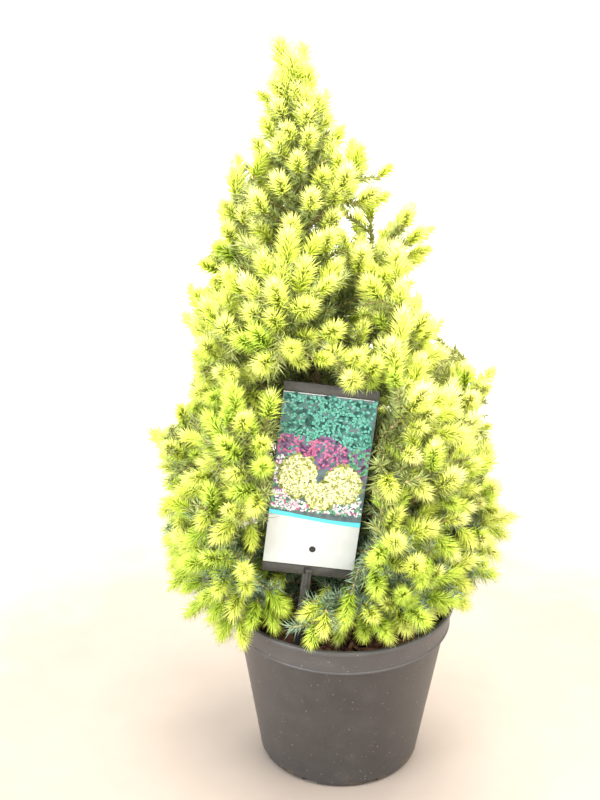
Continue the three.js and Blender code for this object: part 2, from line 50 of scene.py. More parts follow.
# %% [markdown]
# The camera decides how steep and how large the plant looks, so it comes before any
# piece. It could be aimed by a constraint, but a plain matrix keeps the place, the tilt
# and the small roll exactly as they were worked out from the pot's rim and foot. It is a
# metre away and looks down by 22 degrees, as a person does who pictures a pot on a floor.

# %% Camera
CAMERA_PLACE = (-0.0374, -1.0, 0.7362)
CAMERA_DOWN = 22.31
CAMERA_ROLL = 0.58
LENS = 60.75
SENSOR = 36.0

camera_data = bpy.data.cameras.new("camera")
camera_data.lens = LENS
camera_data.sensor_width = SENSOR
camera = bpy.data.objects.new("camera", camera_data)
tilt = Matrix.Rotation(math.radians(90 - CAMERA_DOWN), 4, "X")
roll = Matrix.Rotation(math.radians(CAMERA_ROLL), 4, "Z")
camera.matrix_world = Matrix.Translation(CAMERA_PLACE) @ tilt @ roll
bpy.context.collection.objects.link(camera)
bpy.context.scene.camera = camera
print("camera at", CAMERA_PLACE)

# %% [markdown]
# Every finish below is a small tree of shader nodes. They could be wired one by one in
# the editor. In a script it is shorter to have one function that adds any node with its
# settings and links, and one that turns an sRGB colour, as a colour picker shows it, to
# the linear colour that the shader works in.

# %% Colours, nodes and materials


def linear(hex_colour):
    """An sRGB hex colour as linear RGBA."""
    parts = [int(hex_colour[i:i + 2], 16) / 255 for i in (1, 3, 5)]
    return tuple(c / 12.92 if c <= 0.04045 else ((c + 0.055) / 1.055) ** 2.4 for c in parts) + (1.0,)


def add_node(tree, kind, settings=None, inputs=None, stops=None):
    """A node with its settings. An input is a value, or the socket that feeds it, and the
    stops of a colour ramp are pairs of place and hex colour."""
    node = tree.nodes.new(kind)
    for name, value in (settings or {}).items():
        setattr(node, name, value)
    for name, value in (inputs or {}).items():
        if isinstance(value, bpy.types.NodeSocket):
            tree.links.new(value, node.inputs[name])
        else:
            node.inputs[name].default_value = value
    for k, (place, colour) in enumerate(stops or []):
        elements = node.color_ramp.elements
        element = elements[k] if k < len(elements) else elements.new(place)
        element.position = place
        element.color = linear(colour)
    return node


def new_material(name, colour, roughness, ior=1.5):
    """A Principled material, with its node tree and its shader."""
    material = bpy.data.materials.new(name)
    material.use_nodes = True
    tree = material.node_tree
    shader = tree.nodes["Principled BSDF"]
    shader.inputs["Base Color"].default_value = linear(colour)
    shader.inputs["Roughness"].default_value = roughness
    shader.inputs["IOR"].default_value = ior
    return material, tree, shader


print("white is", linear("#ffffff"))

# %% [markdown]
# The floor is a large matt painted sheet, pale and brighter away from the pot. A plane
# with one flat colour would do, but here the floor round the pot is painted darker and
# warmer, as painted shade from the plant. So a ramp runs outwards by the distance from
# the pot, and a broad noise keeps its steps from showing as rings.

# %% Floor
FLOOR_HALF = 6.0
FLOOR_PATCH = 60.0
FLOOR_UNEVEN = 0.25
# The darker, warmer stops near the pot are painted shade; the last stop is white to meet the white sky.
FLOOR_PAINTED_SHADE_STOPS = [(0.2, "#9c9187"), (0.45, "#8f847a"), (0.8, "#b2aaa2"), (1.0, "#ffffff")]


def as_piece(bm, name, material=None, smooth=False, sharp_degrees=None):
    """A finished bmesh as an object at the origin, with its one material."""
    mesh = bpy.data.meshes.new(name)
    bm.to_mesh(mesh)
    bm.free()
    if material:
        mesh.materials.append(material)
    if smooth:
        mesh.polygons.foreach_set("use_smooth", np.full(len(mesh.polygons), True))
    if sharp_degrees:
        mesh.set_sharp_from_angle(angle=math.radians(sharp_degrees))
    piece = bpy.data.objects.new(name, mesh)
    bpy.context.collection.objects.link(piece)
    return piece


def make_floor_material():
    """Matt floor paint: no gloss, warm grey by the pot as painted shade, and near white far from it."""
    material, tree, shader = new_material("floor_with_painted_shade", "#f2ebe3", 0.9)
    place = add_node(tree, "ShaderNodeTexCoord").outputs["Object"]
    far = add_node(tree, "ShaderNodeVectorMath", {"operation": "LENGTH"}, {"Vector": place})
    patches = add_node(tree, "ShaderNodeTexNoise", None, {
        "Vector": place, "Scale": 1 / (FLOOR_PATCH * MM), "Detail": 5.0, "Roughness": 0.55,
    })
    uneven = add_node(tree, "ShaderNodeMath", {"operation": "MULTIPLY_ADD"}, {
        0: patches.outputs["Fac"], 1: FLOOR_UNEVEN, 2: far.outputs["Value"],
    })
    shades = add_node(tree, "ShaderNodeValToRGB", None, {"Fac": uneven.outputs[0]}, FLOOR_PAINTED_SHADE_STOPS)
    tree.links.new(shades.outputs["Color"], shader.inputs["Base Color"])
    return material


floor_bm = bmesh.new()
bmesh.ops.create_grid(floor_bm, x_segments=1, y_segments=1, size=FLOOR_HALF)
floor = as_piece(floor_bm, "floor", make_floor_material())
print("floor", 2 * FLOOR_HALF, "m wide")

# %% [markdown]
# Bright studio light is soft: it comes from large panels and from white walls. Each panel
# is a square area lamp, and a wide lamp gives a soft shadow. One stands at the right, one
# fills from the left, the widest lights the tufts' edges from behind, and one hangs above.
# The walls are a plain white sky, which costs nothing and reaches in between the needles.

# %% Sky and lamps
CROWN_MIDDLE = (0.0, 0.0, 0.32)
SKY_STRENGTH = 1.2
LAMPS = [
    ("key", (1.0, -0.8, 1.7), 1.1, 28.0, "#fff8ee"),
    ("fill", (-1.3, -1.0, 1.2), 1.2, 34.0, "#f8f9ff"),
    ("back", (0.0, 1.3, 1.5), 2.2, 75.0, "#fffaf0"),
    ("top", (0.1, -0.1, 2.2), 1.4, 80.0, "#fffaf2"),
]

for name, place, width, watts, colour in LAMPS:
    data = bpy.data.lights.new(name, "AREA")
    data.size = width
    data.energy = watts
    data.color = linear(colour)[:3]
    lamp = bpy.data.objects.new(name, data)
    lamp.location = place
    towards = Vector(CROWN_MIDDLE) - Vector(place)
    lamp.rotation_euler = towards.to_track_quat("-Z", "Y").to_euler()
    bpy.context.collection.objects.link(lamp)
world = bpy.data.worlds.new("studio")
world.use_nodes = True
sky = world.node_tree.nodes["Background"]
sky.inputs["Color"].default_value = linear("#ffffff")
sky.inputs["Strength"].default_value = SKY_STRENGTH
bpy.context.scene.world = world
bpy.context.scene.view_settings.view_transform = "Standard"
print(len(LAMPS), "lamps and a white sky")

# %% [markdown]
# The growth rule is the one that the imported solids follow, so that each fine twig here
# grows where the solids have a spray. It uses the same small generator of random numbers,
# because Python's own would give other limbs. These helpers are what the whole rule
# needs: blends, values read off a short table, and directions as arrays of three numbers.
# Lengths in the rule are millimetres, and are turned to metres when a mesh is made.

# %% Random numbers, blends and directions
UP = np.array([0.0, 0.0, 1.0])
RIGHT = np.array([1.0, 0.0, 0.0])
UPRIGHT = 0.9


def seeded_random(seed):
    """The generator of the solids: the same seed gives the same evenly spread numbers."""
    state = [seed & 0xFFFFFFFF]

    def draw():
        state[0] = (state[0] + 0x6D2B79F5) & 0xFFFFFFFF
        t = state[0]
        t = ((t ^ (t >> 15)) * (t | 1)) & 0xFFFFFFFF
        t ^= (t + (((t ^ (t >> 7)) * (t | 61)) & 0xFFFFFFFF)) & 0xFFFFFFFF
        return ((t ^ (t >> 14)) & 0xFFFFFFFF) / 4294967296

    return draw


def mix(low, high, share):
    """Linear blend."""
    return low + (high - low) * share


def clamp01(value):
    """A value held between 0 and 1."""
    return min(1.0, max(0.0, value))


def along_knots(knots, position):
    """A value read off a short list of (position, value) knots."""
    return float(np.interp(position, [k[0] for k in knots], [k[1] for k in knots]))


def unit(vector):
    """A vector of length 1."""
    return vector / np.linalg.norm(vector)


def cross_frame(direction):
    """Two directions square to a given one."""
    reference = RIGHT if abs(direction[2]) > UPRIGHT else UP
    side = unit(np.cross(direction, reference))
    return side, np.cross(side, direction)


def direction_on(line, share):
    """The direction of a line at a share of it."""
    return unit(line(share + 0.01) - line(share - 0.01))


print("the generator starts with", round(seeded_random(1)(), 4))

# %% [markdown]
# The trunk leans to the left and sways a little, as a young stem does that has grown
# towards light. It could be drawn as a curve with handles. A function of the height is
# used instead, because every limb, and the crown's face too, asks where the trunk is.

# %% The trunk's line
PLANT_TOP = 609.0
SOIL_TOP = 127.0
TRUNK_LEAN = 51.0
TRUNK_SWAY = 2.5
SWAY_ACROSS = 9
SWAY_DEEP = 7
SWAY_START = 2
TRUNK_TIP = 556.0
TRUNK_FOOT_RADIUS = 7.0
TRUNK_TIP_RADIUS = 1.5
FLARE_RADIUS = 4.0
FLARE_HEIGHT = 22.0


def trunk_point(height):
    """The trunk's centre at a height. Two waves of unlike length make its sway."""
    share = (height - SOIL_TOP) / (PLANT_TOP - SOIL_TOP)
    across = -TRUNK_LEAN * share + TRUNK_SWAY * math.sin(share * SWAY_ACROSS)
    deep = TRUNK_SWAY * math.sin(share * SWAY_DEEP + SWAY_START)
    return np.array([across, deep, height])


def trunk_radius(height):
    """The trunk's radius at a height, with its flare at the ground."""
    share = clamp01((height - SOIL_TOP) / (TRUNK_TIP - SOIL_TOP))
    flare = FLARE_RADIUS * clamp01((SOIL_TOP + FLARE_HEIGHT - height) / FLARE_HEIGHT) ** 2
    return mix(TRUNK_FOOT_RADIUS, TRUNK_TIP_RADIUS, share) + flare


print("trunk from", np.round(trunk_point(SOIL_TOP)), "to", np.round(trunk_point(TRUNK_TIP)))

# %% [markdown]
# The crown's face is where the tufts end: a leaning cone with a full, uneven skirt. Its
# shape could be a lattice or a sculpted shell that twigs are cut to. Four short profiles,
# for right, left, front and back, say the same with a few numbers, and between them the
# reach is blended by the angle, so that the face has no corners.

# %% The crown's face
CROWN_FOOT = 136.0
CROWN_RIGHT = [
    (136, 86), (180, 138), (209, 148), (272, 142), (331, 156),
    (372, 119), (550, 37), (590, 21), (609, 7),
]
CROWN_LEFT = [
    (136, 148), (272, 150), (331, 114), (372, 100), (402, 105),
    (478, 69), (550, 38), (590, 21), (609, 7),
]
CROWN_FRONT = [
    (136, 104), (180, 122), (272, 128), (331, 118), (402, 98),
    (478, 67), (550, 36), (590, 20), (609, 7),
]
CROWN_BACK = [
    (136, 118), (200, 142), (272, 144), (331, 134), (402, 102),
    (478, 67), (550, 36), (590, 20), (609, 7),
]
LIFT = [(140, -0.9), (210, -0.35), (300, 0.05), (420, 0.45), (600, 1.2)]
TOP_SCALE = 0.78


def crown_radius(height, azimuth):
    """The crown's reach round the trunk."""
    if height < CROWN_FOOT:
        return 0.0
    east = math.cos(azimuth)
    north = math.sin(azimuth)
    side = CROWN_RIGHT if east > 0 else CROWN_LEFT
    depth = CROWN_BACK if north > 0 else CROWN_FRONT
    return along_knots(side, height) * east * east + along_knots(depth, height) * north * north


def depth_in_crown(point):
    """How far a point is inside the crown's face, negative outside."""
    axis = trunk_point(point[2])
    azimuth = math.atan2(point[1] - axis[1], point[0] - axis[0])
    return crown_radius(point[2], azimuth) - math.hypot(point[0] - axis[0], point[1] - axis[1])


def spray_direction(twig_direction, height):
    """Sprays stand up near the crown's top and hang at its foot."""
    return unit(twig_direction + UP * along_knots(LIFT, height))


def spray_scale(height):
    """Sprays get smaller towards the plant's top."""
    return along_knots([(400, 1), (560, TOP_SCALE)], height)


print("crown's reach at 272 mm:", [round(crown_radius(272, k * math.pi / 2)) for k in range(4)])

# %% [markdown]
# Twigs of a real crown grow past each other and never through a label or a pot. A check
# on meshes for every twig would be slow. So each limb, twig and spray is filled with a few
# balls, and two things meet where two balls do, which is one quick sum for whole arrays.
# The label, its stake, the soil and the pot's rim are tested in the same way.

# %% Balls and what blocks them
SOIL_RELIEF = 2.2
POT_HEIGHT = 150.0
RIM_RADIUS = 95.0
RIM_ZONE = 8.0
LABEL_WIDTH = 73.0
LABEL_HEIGHT = 160.0
LIP = 2.4
STAKE_WIDTH = 7.5
LABEL_CENTRE = np.array([-21.8, -60.0, 282.0])
LABEL_ROLL = math.radians(6.3)
LABEL_LEAN = math.radians(2.2)
SIDE_OVERLAP = 4.0
END_OVERLAP = 2.0
BALL_GAP = 1
STAKE_CLEAR = 4
SOIL_EDGE = 6
# Where along a spray each of its balls lies, and how large each is.
SPRAY_BALLS = ((0.3, 0.5), (0.62, 1), (0.9, 0.45))


def rotation(axis, angle):
    """A rotation matrix about a main axis."""
    return np.array(Matrix.Rotation(angle, 3, axis))


label_turn = rotation("X", -LABEL_LEAN) @ rotation("Y", LABEL_ROLL)


def balls_along(start, end, radius, step):
    """Balls in a row, as rows of x, y, z and radius."""
    count = max(1, math.ceil(np.linalg.norm(end - start) / step))
    shares = np.arange(count + 1)[:, None] / count
    centres = start + (end - start) * shares
    return np.hstack([centres, np.full((count + 1, 1), radius)])


def spray_balls(start, direction, length, radius):
    """Three balls that a spray fits in."""
    return np.array([[*(start + direction * at * length), size * radius] for at, size in SPRAY_BALLS])


def is_blocked(balls):
    """Whether any ball meets the label, its stake, the soil or the pot's rim."""
    centre = balls[:, :3]
    radius = balls[:, 3]
    local = (centre - LABEL_CENTRE) @ label_turn
    x, y, z = np.abs(local[:, 0]), local[:, 1], np.abs(local[:, 2])
    behind = y - radius > LIP
    beside = x > LABEL_WIDTH / 2 + radius - SIDE_OVERLAP
    past = z > LABEL_HEIGHT / 2 + radius - END_OVERLAP
    before = ~behind & ~beside & ~past
    stake = (local[:, 2] < 0) & (x < STAKE_WIDTH / 2 + radius + BALL_GAP)
    stake = stake & (np.abs(y) < radius + STAKE_CLEAR)
    plate = (np.abs(y) < radius + LIP) & (x < LABEL_WIDTH / 2 + radius)
    plate = plate & (z < LABEL_HEIGHT / 2 + radius)
    from_axis = np.hypot(centre[:, 0], centre[:, 1])
    lowest = centre[:, 2] - radius
    soil = (from_axis - radius < RIM_RADIUS - SOIL_EDGE) & (lowest < SOIL_TOP + SOIL_RELIEF + BALL_GAP)
    over_rim = from_axis - radius < RIM_RADIUS + BALL_GAP
    over_rim = over_rim & (from_axis + radius > RIM_RADIUS - RIM_ZONE)
    rim = over_rim & (lowest < POT_HEIGHT + BALL_GAP)
    return bool(np.any(before | stake | plate | soil | rim))


def touch(balls, others, gap):
    """Whether any ball of one set comes within a gap of the other set."""
    if len(others) == 0:
        return False
    between = balls[:, None, :3] - others[None, :, :3]
    reach = balls[:, None, 3] + others[None, :, 3] + gap
    return bool(np.any(np.einsum("ijk,ijk->ij", between, between) < reach * reach))


print("the label blocks its own middle:", is_blocked(np.array([[*LABEL_CENTRE, 1.0]])))

# %% [markdown]
# A limb leaves the trunk, dips a little under its own weight and turns up to its end,
# where it bears a spray. Its line could be a bezier curve. A straight line with a parabola
# taken off is easier to read at any share, and one number says how far it sags. The inner
# part is bare bough and the outer part carries the foliage.

# %% One limb
SAG = 0.06
STEM_RADIUS = 1.5
BOUGH_SHARE = 0.48
LOWEST_ROOT = 141.0
SPRAY_LENGTH = (31.0, 37.0)
SPRAY_RADIUS = (11.5, 13.2)
STEM_BALL = 2.4
BALL_STEP = 3
THINNEST = 0.9
THICKENS = 0.26
TAPER = 0.8
LAST_TWIG_FROM = 0.97
FREE_OF_TRUNK = 0.2


def limb_line(root, end):
    """A limb's centre line: it dips a little and turns up to its end."""
    dip = np.linalg.norm(end - root) * SAG
    return lambda share: root + (end - root) * share - UP * (4 * dip * share * (1 - share))


def with_last_shoot(limb):
    """Adds the spray at a limb's own end, and the balls that it fills."""
    line, end = limb["line"], limb["end"]
    bare_end = line(limb["from"])
    scale = spray_scale(end[2])
    shoot = {"root": line(LAST_TWIG_FROM), "start": end}
    shoot["direction"] = spray_direction(direction_on(line, 1), end[2])
    shoot["length"] = SPRAY_LENGTH[1] * scale
    shoot["radius"] = SPRAY_RADIUS[1] * scale
    shoot["balls"] = spray_balls(end, shoot["direction"], shoot["length"], shoot["radius"])
    limb["last"] = shoot
    limb["own"] = np.vstack([shoot["balls"], balls_along(bare_end, end, STEM_BALL, BALL_STEP)])
    bough_ball = limb["radius_at"](FREE_OF_TRUNK / 2) + BALL_GAP
    limb["bough"] = balls_along(line(FREE_OF_TRUNK), bare_end, bough_ball, BALL_STEP)
    if limb["name"] == "leader":
        limb["bough"] = np.zeros((0, 4))
    return limb


def plan_limb(name, height, azimuth, reach, rise):
    """A limb from the trunk to its end in the crown."""
    end = trunk_point(height) + reach * np.array([math.cos(azimuth), math.sin(azimuth), 0.0])
    root = trunk_point(max(LOWEST_ROOT, height - reach * rise))
    length = float(np.linalg.norm(end - root))
    thick = THINNEST + THICKENS * math.sqrt(length)
    limb = {"name": name, "line": limb_line(root, end), "length": length, "end": end}
    limb["from"] = BOUGH_SHARE
    limb["radius_at"] = lambda share: mix(thick, STEM_RADIUS, clamp01(share) ** TAPER)
    return with_last_shoot(limb)


def plan_leader():
    """The foliage that goes on from the trunk's tip."""
    stem_top = PLANT_TOP - SPRAY_LENGTH[1] * TOP_SCALE
    limb = {"name": "leader", "length": stem_top - TRUNK_TIP, "from": 0.0}
    limb["line"] = lambda share: trunk_point(mix(TRUNK_TIP, stem_top, share))
    limb["end"] = limb["line"](1)
    limb["radius_at"] = lambda share: TRUNK_TIP_RADIUS
    return with_last_shoot(limb)


leader = plan_leader()
print("the leader ends at", np.round(leader["end"]))

# %% [markdown]
# Spruce limbs stand round the trunk so that each has light. They could be set by hand, or
# at random, which leaves bald places. Each limb here is turned from the last by the golden
# angle, which never lines two up, and the heights share out the crown's face evenly. A
# limb that would meet another turns aside or gets shorter. Two branches on the right are
# given one by one, because they stand open against the sky on this plant.

# %% All limbs
SEED = 19620
CLEARANCE = 0.3
GOLDEN_ANGLE = math.pi * (3 - math.sqrt(5))
BOUGH_COUNT = 27
LOWEST_TIP = 156.0
HIGHEST_TIP = 566.0
TOP_WEIGHT = 40.0
FIRST_AZIMUTH = 0.35
AZIMUTH_CHANGE = 0.2
TURN_STEP = 0.15
SHORTEST = 8.0
END_SPRAY = 0.8
RISE = (0.3, 1.25)
OPEN_BRANCHES = [
    {"height": 462.0, "azimuth": 0.12, "reach": 72.0, "rise": 0.75, "room": 40.0},
    {"height": 508.0, "azimuth": -0.05, "reach": 38.0, "rise": 1.1, "room": 38.0},
]


def even_heights(count, low, high):
    """Heights that share the crown's face out evenly."""
    steps = 400
    area = [0.0]
    for i in range(1, steps + 1):
        area.append(area[-1] + crown_radius(mix(low, high, i / steps), math.pi / 2) + TOP_WEIGHT)
    found = []
    for k in range(count):
        wanted = ((k + 0.5) / count) * area[steps]
        first = next(i for i, total in enumerate(area) if total >= wanted)
        found.append(mix(low, high, first / steps))
    return found


def free_limb(name, height, azimuth, reach_at, rise, placed):
    """A limb that would meet something turns aside, or gets shorter."""
    for shorter in (1, 0.9, 0.8, 0.7, 0.6, 0.5):
        for turn in (0, 1, -1, 2, -2, 3, -3, 4, -4):
            turned = azimuth + turn * TURN_STEP
            limb = plan_limb(name, height, turned, reach_at(turned) * shorter, rise)
            meets = is_blocked(limb["own"]) or touch(limb["own"], placed, CLEARANCE)
            if not meets and not touch(limb["bough"], placed, 0):
                return limb
    raise ValueError("no room for limb " + name)


def plan_one(name, height, open_branch, azimuth, placed):
    """A limb of the crown, or an open branch that stands out of it."""
    if open_branch:
        height, azimuth, reach, rise, room = open_branch.values()
        limb = free_limb(name, height, azimuth, lambda turned: reach, rise, placed)
        limb["room"] = room
        return limb
    spray_room = END_SPRAY * SPRAY_LENGTH[0] * spray_scale(height)
    share = (height - LOWEST_TIP) / (HIGHEST_TIP - LOWEST_TIP)
    return free_limb(
        name, height, azimuth, lambda turned: max(crown_radius(height, turned) - spray_room, SHORTEST),
        mix(RISE[0], RISE[1], share), placed,
    )


def plan_limbs(random):
    """All limbs, with two open branches on the right."""
    heights = even_heights(BOUGH_COUNT, LOWEST_TIP, HIGHEST_TIP)
    open_at = {}
    for branch in OPEN_BRANCHES:
        open_at[next(i for i, height in enumerate(heights) if height > branch["height"])] = branch
    placed = np.zeros((0, 4))
    found = []
    for k, height in enumerate(heights):
        azimuth = 0.0
        if k not in open_at:
            azimuth = FIRST_AZIMUTH + k * GOLDEN_ANGLE + AZIMUTH_CHANGE * (random() - 0.5)
        limb = plan_one(f"{k + 1:02d}", height, open_at.get(k), azimuth, placed)
        placed = np.vstack([placed, limb["own"], limb["bough"]])
        found.append(limb)
    return found


rule_random = seeded_random(SEED)
limbs = plan_limbs(rule_random) + [leader]
print(len(limbs), "limbs, reach", [round(limb["length"]) for limb in limbs])

# %% [markdown]
# Each limb bears a mass of foliage: twigs leave its stem all round and end in a spray at
# the crown's face. A twig could be given its length in advance and clipped later, which
# cuts sprays in half. Here it is tried from the longest that stays in the crown down to
# the shortest, and the first that meets nothing is kept. The limbs take turns, so that
# none fills a place that its neighbour needs.

# %% Twigs of each mass
GOLDEN_SHARE = 0.618034
STEM_USED = (0.03, 0.97)
TURN_CHANGE = 0.8
SPREAD_CHANGE = 16
JUT = 5
TWIG_SPREAD = (66, 34)
TWIG_LENGTH = (3.0, 58.0)
TWIG_STEP = 4.0
TWIG_BALL = 1.9
OUT_OF_STEM = 5.0
DEEPEST = 30.0
SPACING = 1.0
ATTEMPTS = 80


def shoots_to_try(limb, attempt, random):
    """The sprays that one twig could end in, the furthest out first."""
    along = ((attempt * GOLDEN_SHARE) % 1) * STEM_USED[1]
    share = mix(limb["from"] + STEM_USED[0], 1, along)
    stem = direction_on(limb["line"], share)
    side, above = cross_frame(stem)
    turn = attempt * GOLDEN_ANGLE + TURN_CHANGE * random()
    spread = math.radians(mix(*TWIG_SPREAD, along) + SPREAD_CHANGE * (random() - 0.5))
    twig = stem * math.cos(spread) + (side * math.cos(turn) + above * math.sin(turn)) * math.sin(spread)
    root = limb["line"](share)
    scale = spray_scale(root[2])
    length = mix(*SPRAY_LENGTH, random()) * scale
    radius = mix(*SPRAY_RADIUS, random()) * scale
    random()  # the solids turn their spray by this one, so it is drawn here too
    jut = JUT * (random() - 0.6)
    found = []
    for reach in np.arange(TWIG_LENGTH[0], TWIG_LENGTH[1] + 0.1, TWIG_STEP):
        start = root + twig * reach
        direction = spray_direction(twig, start[2])
        tip = start + direction * length
        if "room" in limb:
            depth = limb["room"] - float(np.linalg.norm(tip - limb["end"]))
        else:
            depth = depth_in_crown(tip) + jut
        if depth < 0:
            break
        if depth < DEEPEST:
            balls = spray_balls(start, direction, length, radius)
            twig_balls = balls_along(root + twig * min(OUT_OF_STEM, reach), start, TWIG_BALL, BALL_STEP)
            shoot = {"root": root, "start": start, "direction": direction, "length": length}
            shoot.update(radius=radius, balls=balls, all=np.vstack([balls, twig_balls]))
            found.insert(0, shoot)
    return found


def first_free(candidates, mass, limb_balls, others):
    """The first spray that meets nothing and stands apart from its own mass's sprays."""
    for shoot in candidates:
        if is_blocked(shoot["all"]) or touch(shoot["balls"], limb_balls, CLEARANCE):
            continue
        if touch(shoot["all"], others, CLEARANCE):
            continue
        middle = shoot["balls"][1]
        own = np.array([kept["balls"][1] for kept in mass["shoots"]])
        apart = np.linalg.norm(own[:, :3] - middle[:3], axis=1)
        if np.all(apart > SPACING * (middle[3] + own[:, 3])):
            return shoot
    return None


def grow_masses(random):
    """Twigs of every mass in turn, each kept where it is free."""
    heights = np.arange(SOIL_TOP, TRUNK_TIP, 4)
    trunk_balls = np.array([[*trunk_point(height), trunk_radius(height) + BALL_GAP] for height in heights])
    limb_balls = np.vstack([trunk_balls] + [limb["bough"] for limb in limbs])
    masses = [{"limb": limb, "shoots": [limb["last"]]} for limb in limbs]
    taken = [limb["own"] for limb in limbs]
    for attempt in range(ATTEMPTS):
        for k, mass in enumerate(masses):
            others = np.vstack(taken[:k] + taken[k + 1:])
            candidates = shoots_to_try(mass["limb"], attempt, random)
            shoot = first_free(candidates, mass, limb_balls, others)
            if shoot:
                mass["shoots"].append(shoot)
                taken[k] = np.vstack([taken[k], shoot["all"]])
    return masses


masses = grow_masses(rule_random)
print(sum(len(mass["shoots"]) for mass in masses), "sprays in", len(masses), "masses")

# %% [markdown]
# From here on the growth is finer than the solids. A real twig ends in one leading tuft,
# with smaller ones on side twigs wherever there is light, and its older part is clothed
# in last year's needles. Each could be an object of its own, but thousands of objects are
# slow. So tufts, twigs and clothed stretches are only listed here, and each list becomes a
# few joined meshes at the end.

# %% Lists of tufts and twigs
DETAIL_SEED = 7
TUFT_MIDDLE = 0.58
MIDDLE_TONE = 2.35
# Tufts are painted paler high up and on the right: painted light, where light falls on the crown.
PAINTED_LIGHT_HIGH = 0.6
PAINTED_LIGHT_RIGHT = 1.1
MIDDLE_HEIGHT = 300
CROWN_HALF_WIDTH = 120
LEADING_TONE_CHANGE = 0.35
# For each kind of twig: radius at its foot and its tip in mm, old needles for each mm,
# and how much paler its needles are.
TWIG_KINDS = {
    "leading": (1.15, 0.85, 2.4, 0.0),
    "side": (0.9, 0.7, 2.2, -0.1),
    "older": (0.9, 0.6, 1.9, 0.1),
    "inner": (0.9, 0.6, 1.9, -0.9),
    "filling": (0.9, 0.6, 1.9, -0.3),
    "low": (1.3, 0.7, 2.4, -0.2),
    "trunk side": (1.1, 0.7, 2.2, -0.2),
    "trunk inner": (1.0, 0.6, 1.7, -0.4),
    "trunk top": (1.0, 0.8, 2.2, 0.0),
}

detail = np.random.default_rng(DETAIL_SEED)
tufts = []
tuft_middles = []
twig_bars = []
old_bars = []


def add_tuft(start, direction, length, radius, tone):
    """A tuft of this spring's needles."""
    tufts.append((start, direction, length, radius, tone))
    tuft_middles.append([*(start + direction * TUFT_MIDDLE * length), radius])


def add_bar(start, end, thick, thin, clothed, tone):
    """A stretch of twig with last year's needles along it."""
    twig_bars.append((start, end, thick, thin))
    old_bars.append((start, end, clothed, tone))


def add_twig(kind, start, end):
    """A twig of one of the kinds."""
    add_bar(start, end, *TWIG_KINDS[kind])


def turned_from(direction, degrees, spin):
    """A direction that leaves another by some degrees."""
    side, above = cross_frame(direction)
    angle = math.radians(degrees)
    round_axis = side * math.cos(spin) + above * math.sin(spin)
    return direction * math.cos(angle) + round_axis * math.sin(angle)


def painted_light_tone(point):
    """How pale the new growth is, with painted light: paler high up and on the right."""
    higher = PAINTED_LIGHT_HIGH * (point[2] - MIDDLE_HEIGHT) / MIDDLE_HEIGHT
    return MIDDLE_TONE + higher + PAINTED_LIGHT_RIGHT * clamp01(point[0] / CROWN_HALF_WIDTH)


for mass in masses:
    for shoot in mass["shoots"]:
        tone = painted_light_tone(shoot["start"]) + detail.normal(0, LEADING_TONE_CHANGE)
        add_tuft(shoot["start"], shoot["direction"], shoot["length"], shoot["radius"], tone)
leading = len(tufts)
print(leading, "leading tufts")

# %% [markdown]
# A finer tuft is kept only where a real one would live: near the crown's face, clear of
# the label, out of the patch of sky beside the open branches, and not crowded by another.
# The rules could be painted as a mask on a shell. A few tests of the place itself are
# exact from every side, and a refused tuft costs next to nothing.

# %% Where a tuft fits
CROWDING = 0.7
FACE_SLACK = 2.5
FACE_DEPTH = 36.0
LABEL_CLEAR = 20.0
# The open patch of sky is an ellipse across the camera's view: its middle and half sizes
# across and up, and how the middle moves with depth, because the camera looks down.
GAP_PLACE = (15.0, 483.0)
GAP_HALF = (25.0, 32.0)
GAP_SLOPE = (0.05, -0.255)


def in_open_gap(point):
    """Whether a place lies in the sky between the crown and its open branches."""
    across = (point[0] - GAP_PLACE[0] - GAP_SLOPE[0] * point[1]) / GAP_HALF[0]
    up = (point[2] - GAP_PLACE[1] - GAP_SLOPE[1] * point[1]) / GAP_HALF[1]
    return across * across + up * up < 1


def hides_label(place):
    """Whether a tuft there would hang before the label's face or its edges."""
    x, y, z = (place - LABEL_CENTRE) @ label_turn
    near_side = abs(x) < LABEL_WIDTH / 2 + LABEL_CLEAR / 2
    return y < 0 and near_side and abs(z) < LABEL_HEIGHT / 2 + LABEL_CLEAR


def tuft_fits(start, direction, length, radius, room):
    """Whether a tuft has light, room and a clear place."""
    if in_open_gap(start + direction * 0.5 * length):
        return False
    if hides_label(start + direction * 0.6 * length):
        return False
    depth = room(start + direction * length)
    if depth < -FACE_SLACK or depth > FACE_DEPTH:
        return False
    if is_blocked(spray_balls(start, direction, length, radius)):
        return False
    middles = np.array(tuft_middles)
    apart = np.linalg.norm(middles[:, :3] - (start + direction * TUFT_MIDDLE * length), axis=1)
    return bool(np.all(apart > CROWDING * (middles[:, 3] + radius)))


def crown_room(limb):
    """How far inside the crown a tip is, or inside the open branch's own room."""
    if "room" in limb:
        return lambda tip: limb["room"] + 2 - float(np.linalg.norm(tip - limb["end"]))
    return depth_in_crown


in_gap = sum(in_open_gap(tuft[0] + tuft[1] * tuft[2] * 0.5) for tuft in tufts)
print(in_gap, "leading tufts lie in the open gap")

# %% [markdown]
# Along each twig, side twigs leave by about 50 degrees, as spruce buds do, and each ends
# in a tuft where it fits. Low down the crown has less light, so fewer are tried there.
# Between them stand older twigs with grey-green needles alone. They could be left out, as
# they are half hidden, but they are what makes the crown look deep behind its pale tufts.

# %% Side twigs and older twigs
NEEDLE_ROOM = 6.0
TWIG_ROOM = 2.5
ROOM_STEP = 4
OLD_DEPTH = 10.0
OLD_SIDE_TWIGS = 3
LONGEST_SIDE_TWIG = 24.0
SHORTEST_SIDE_TWIG = 4.0
TURNS_TRIED = 5
REACHES_TRIED = 5
SIDE_ANGLE = (38, 62)
SIDE_SIZE = (0.78, 1.1)
OLD_ANGLE = (35, 70)
OLD_REACH = (10, 24)
OLD_LIFT = 60
SIDE_TONE = (-0.2, 0.4)
FIRST_SIDE_TWIG = 3.0
SIDE_TWIG_GAPS = (4, 8)
SIDE_SHARE = [(200, 0.45), (330, 0.6), (480, 0.8), (560, 1.0)]
FULL_TURN = 2 * math.pi


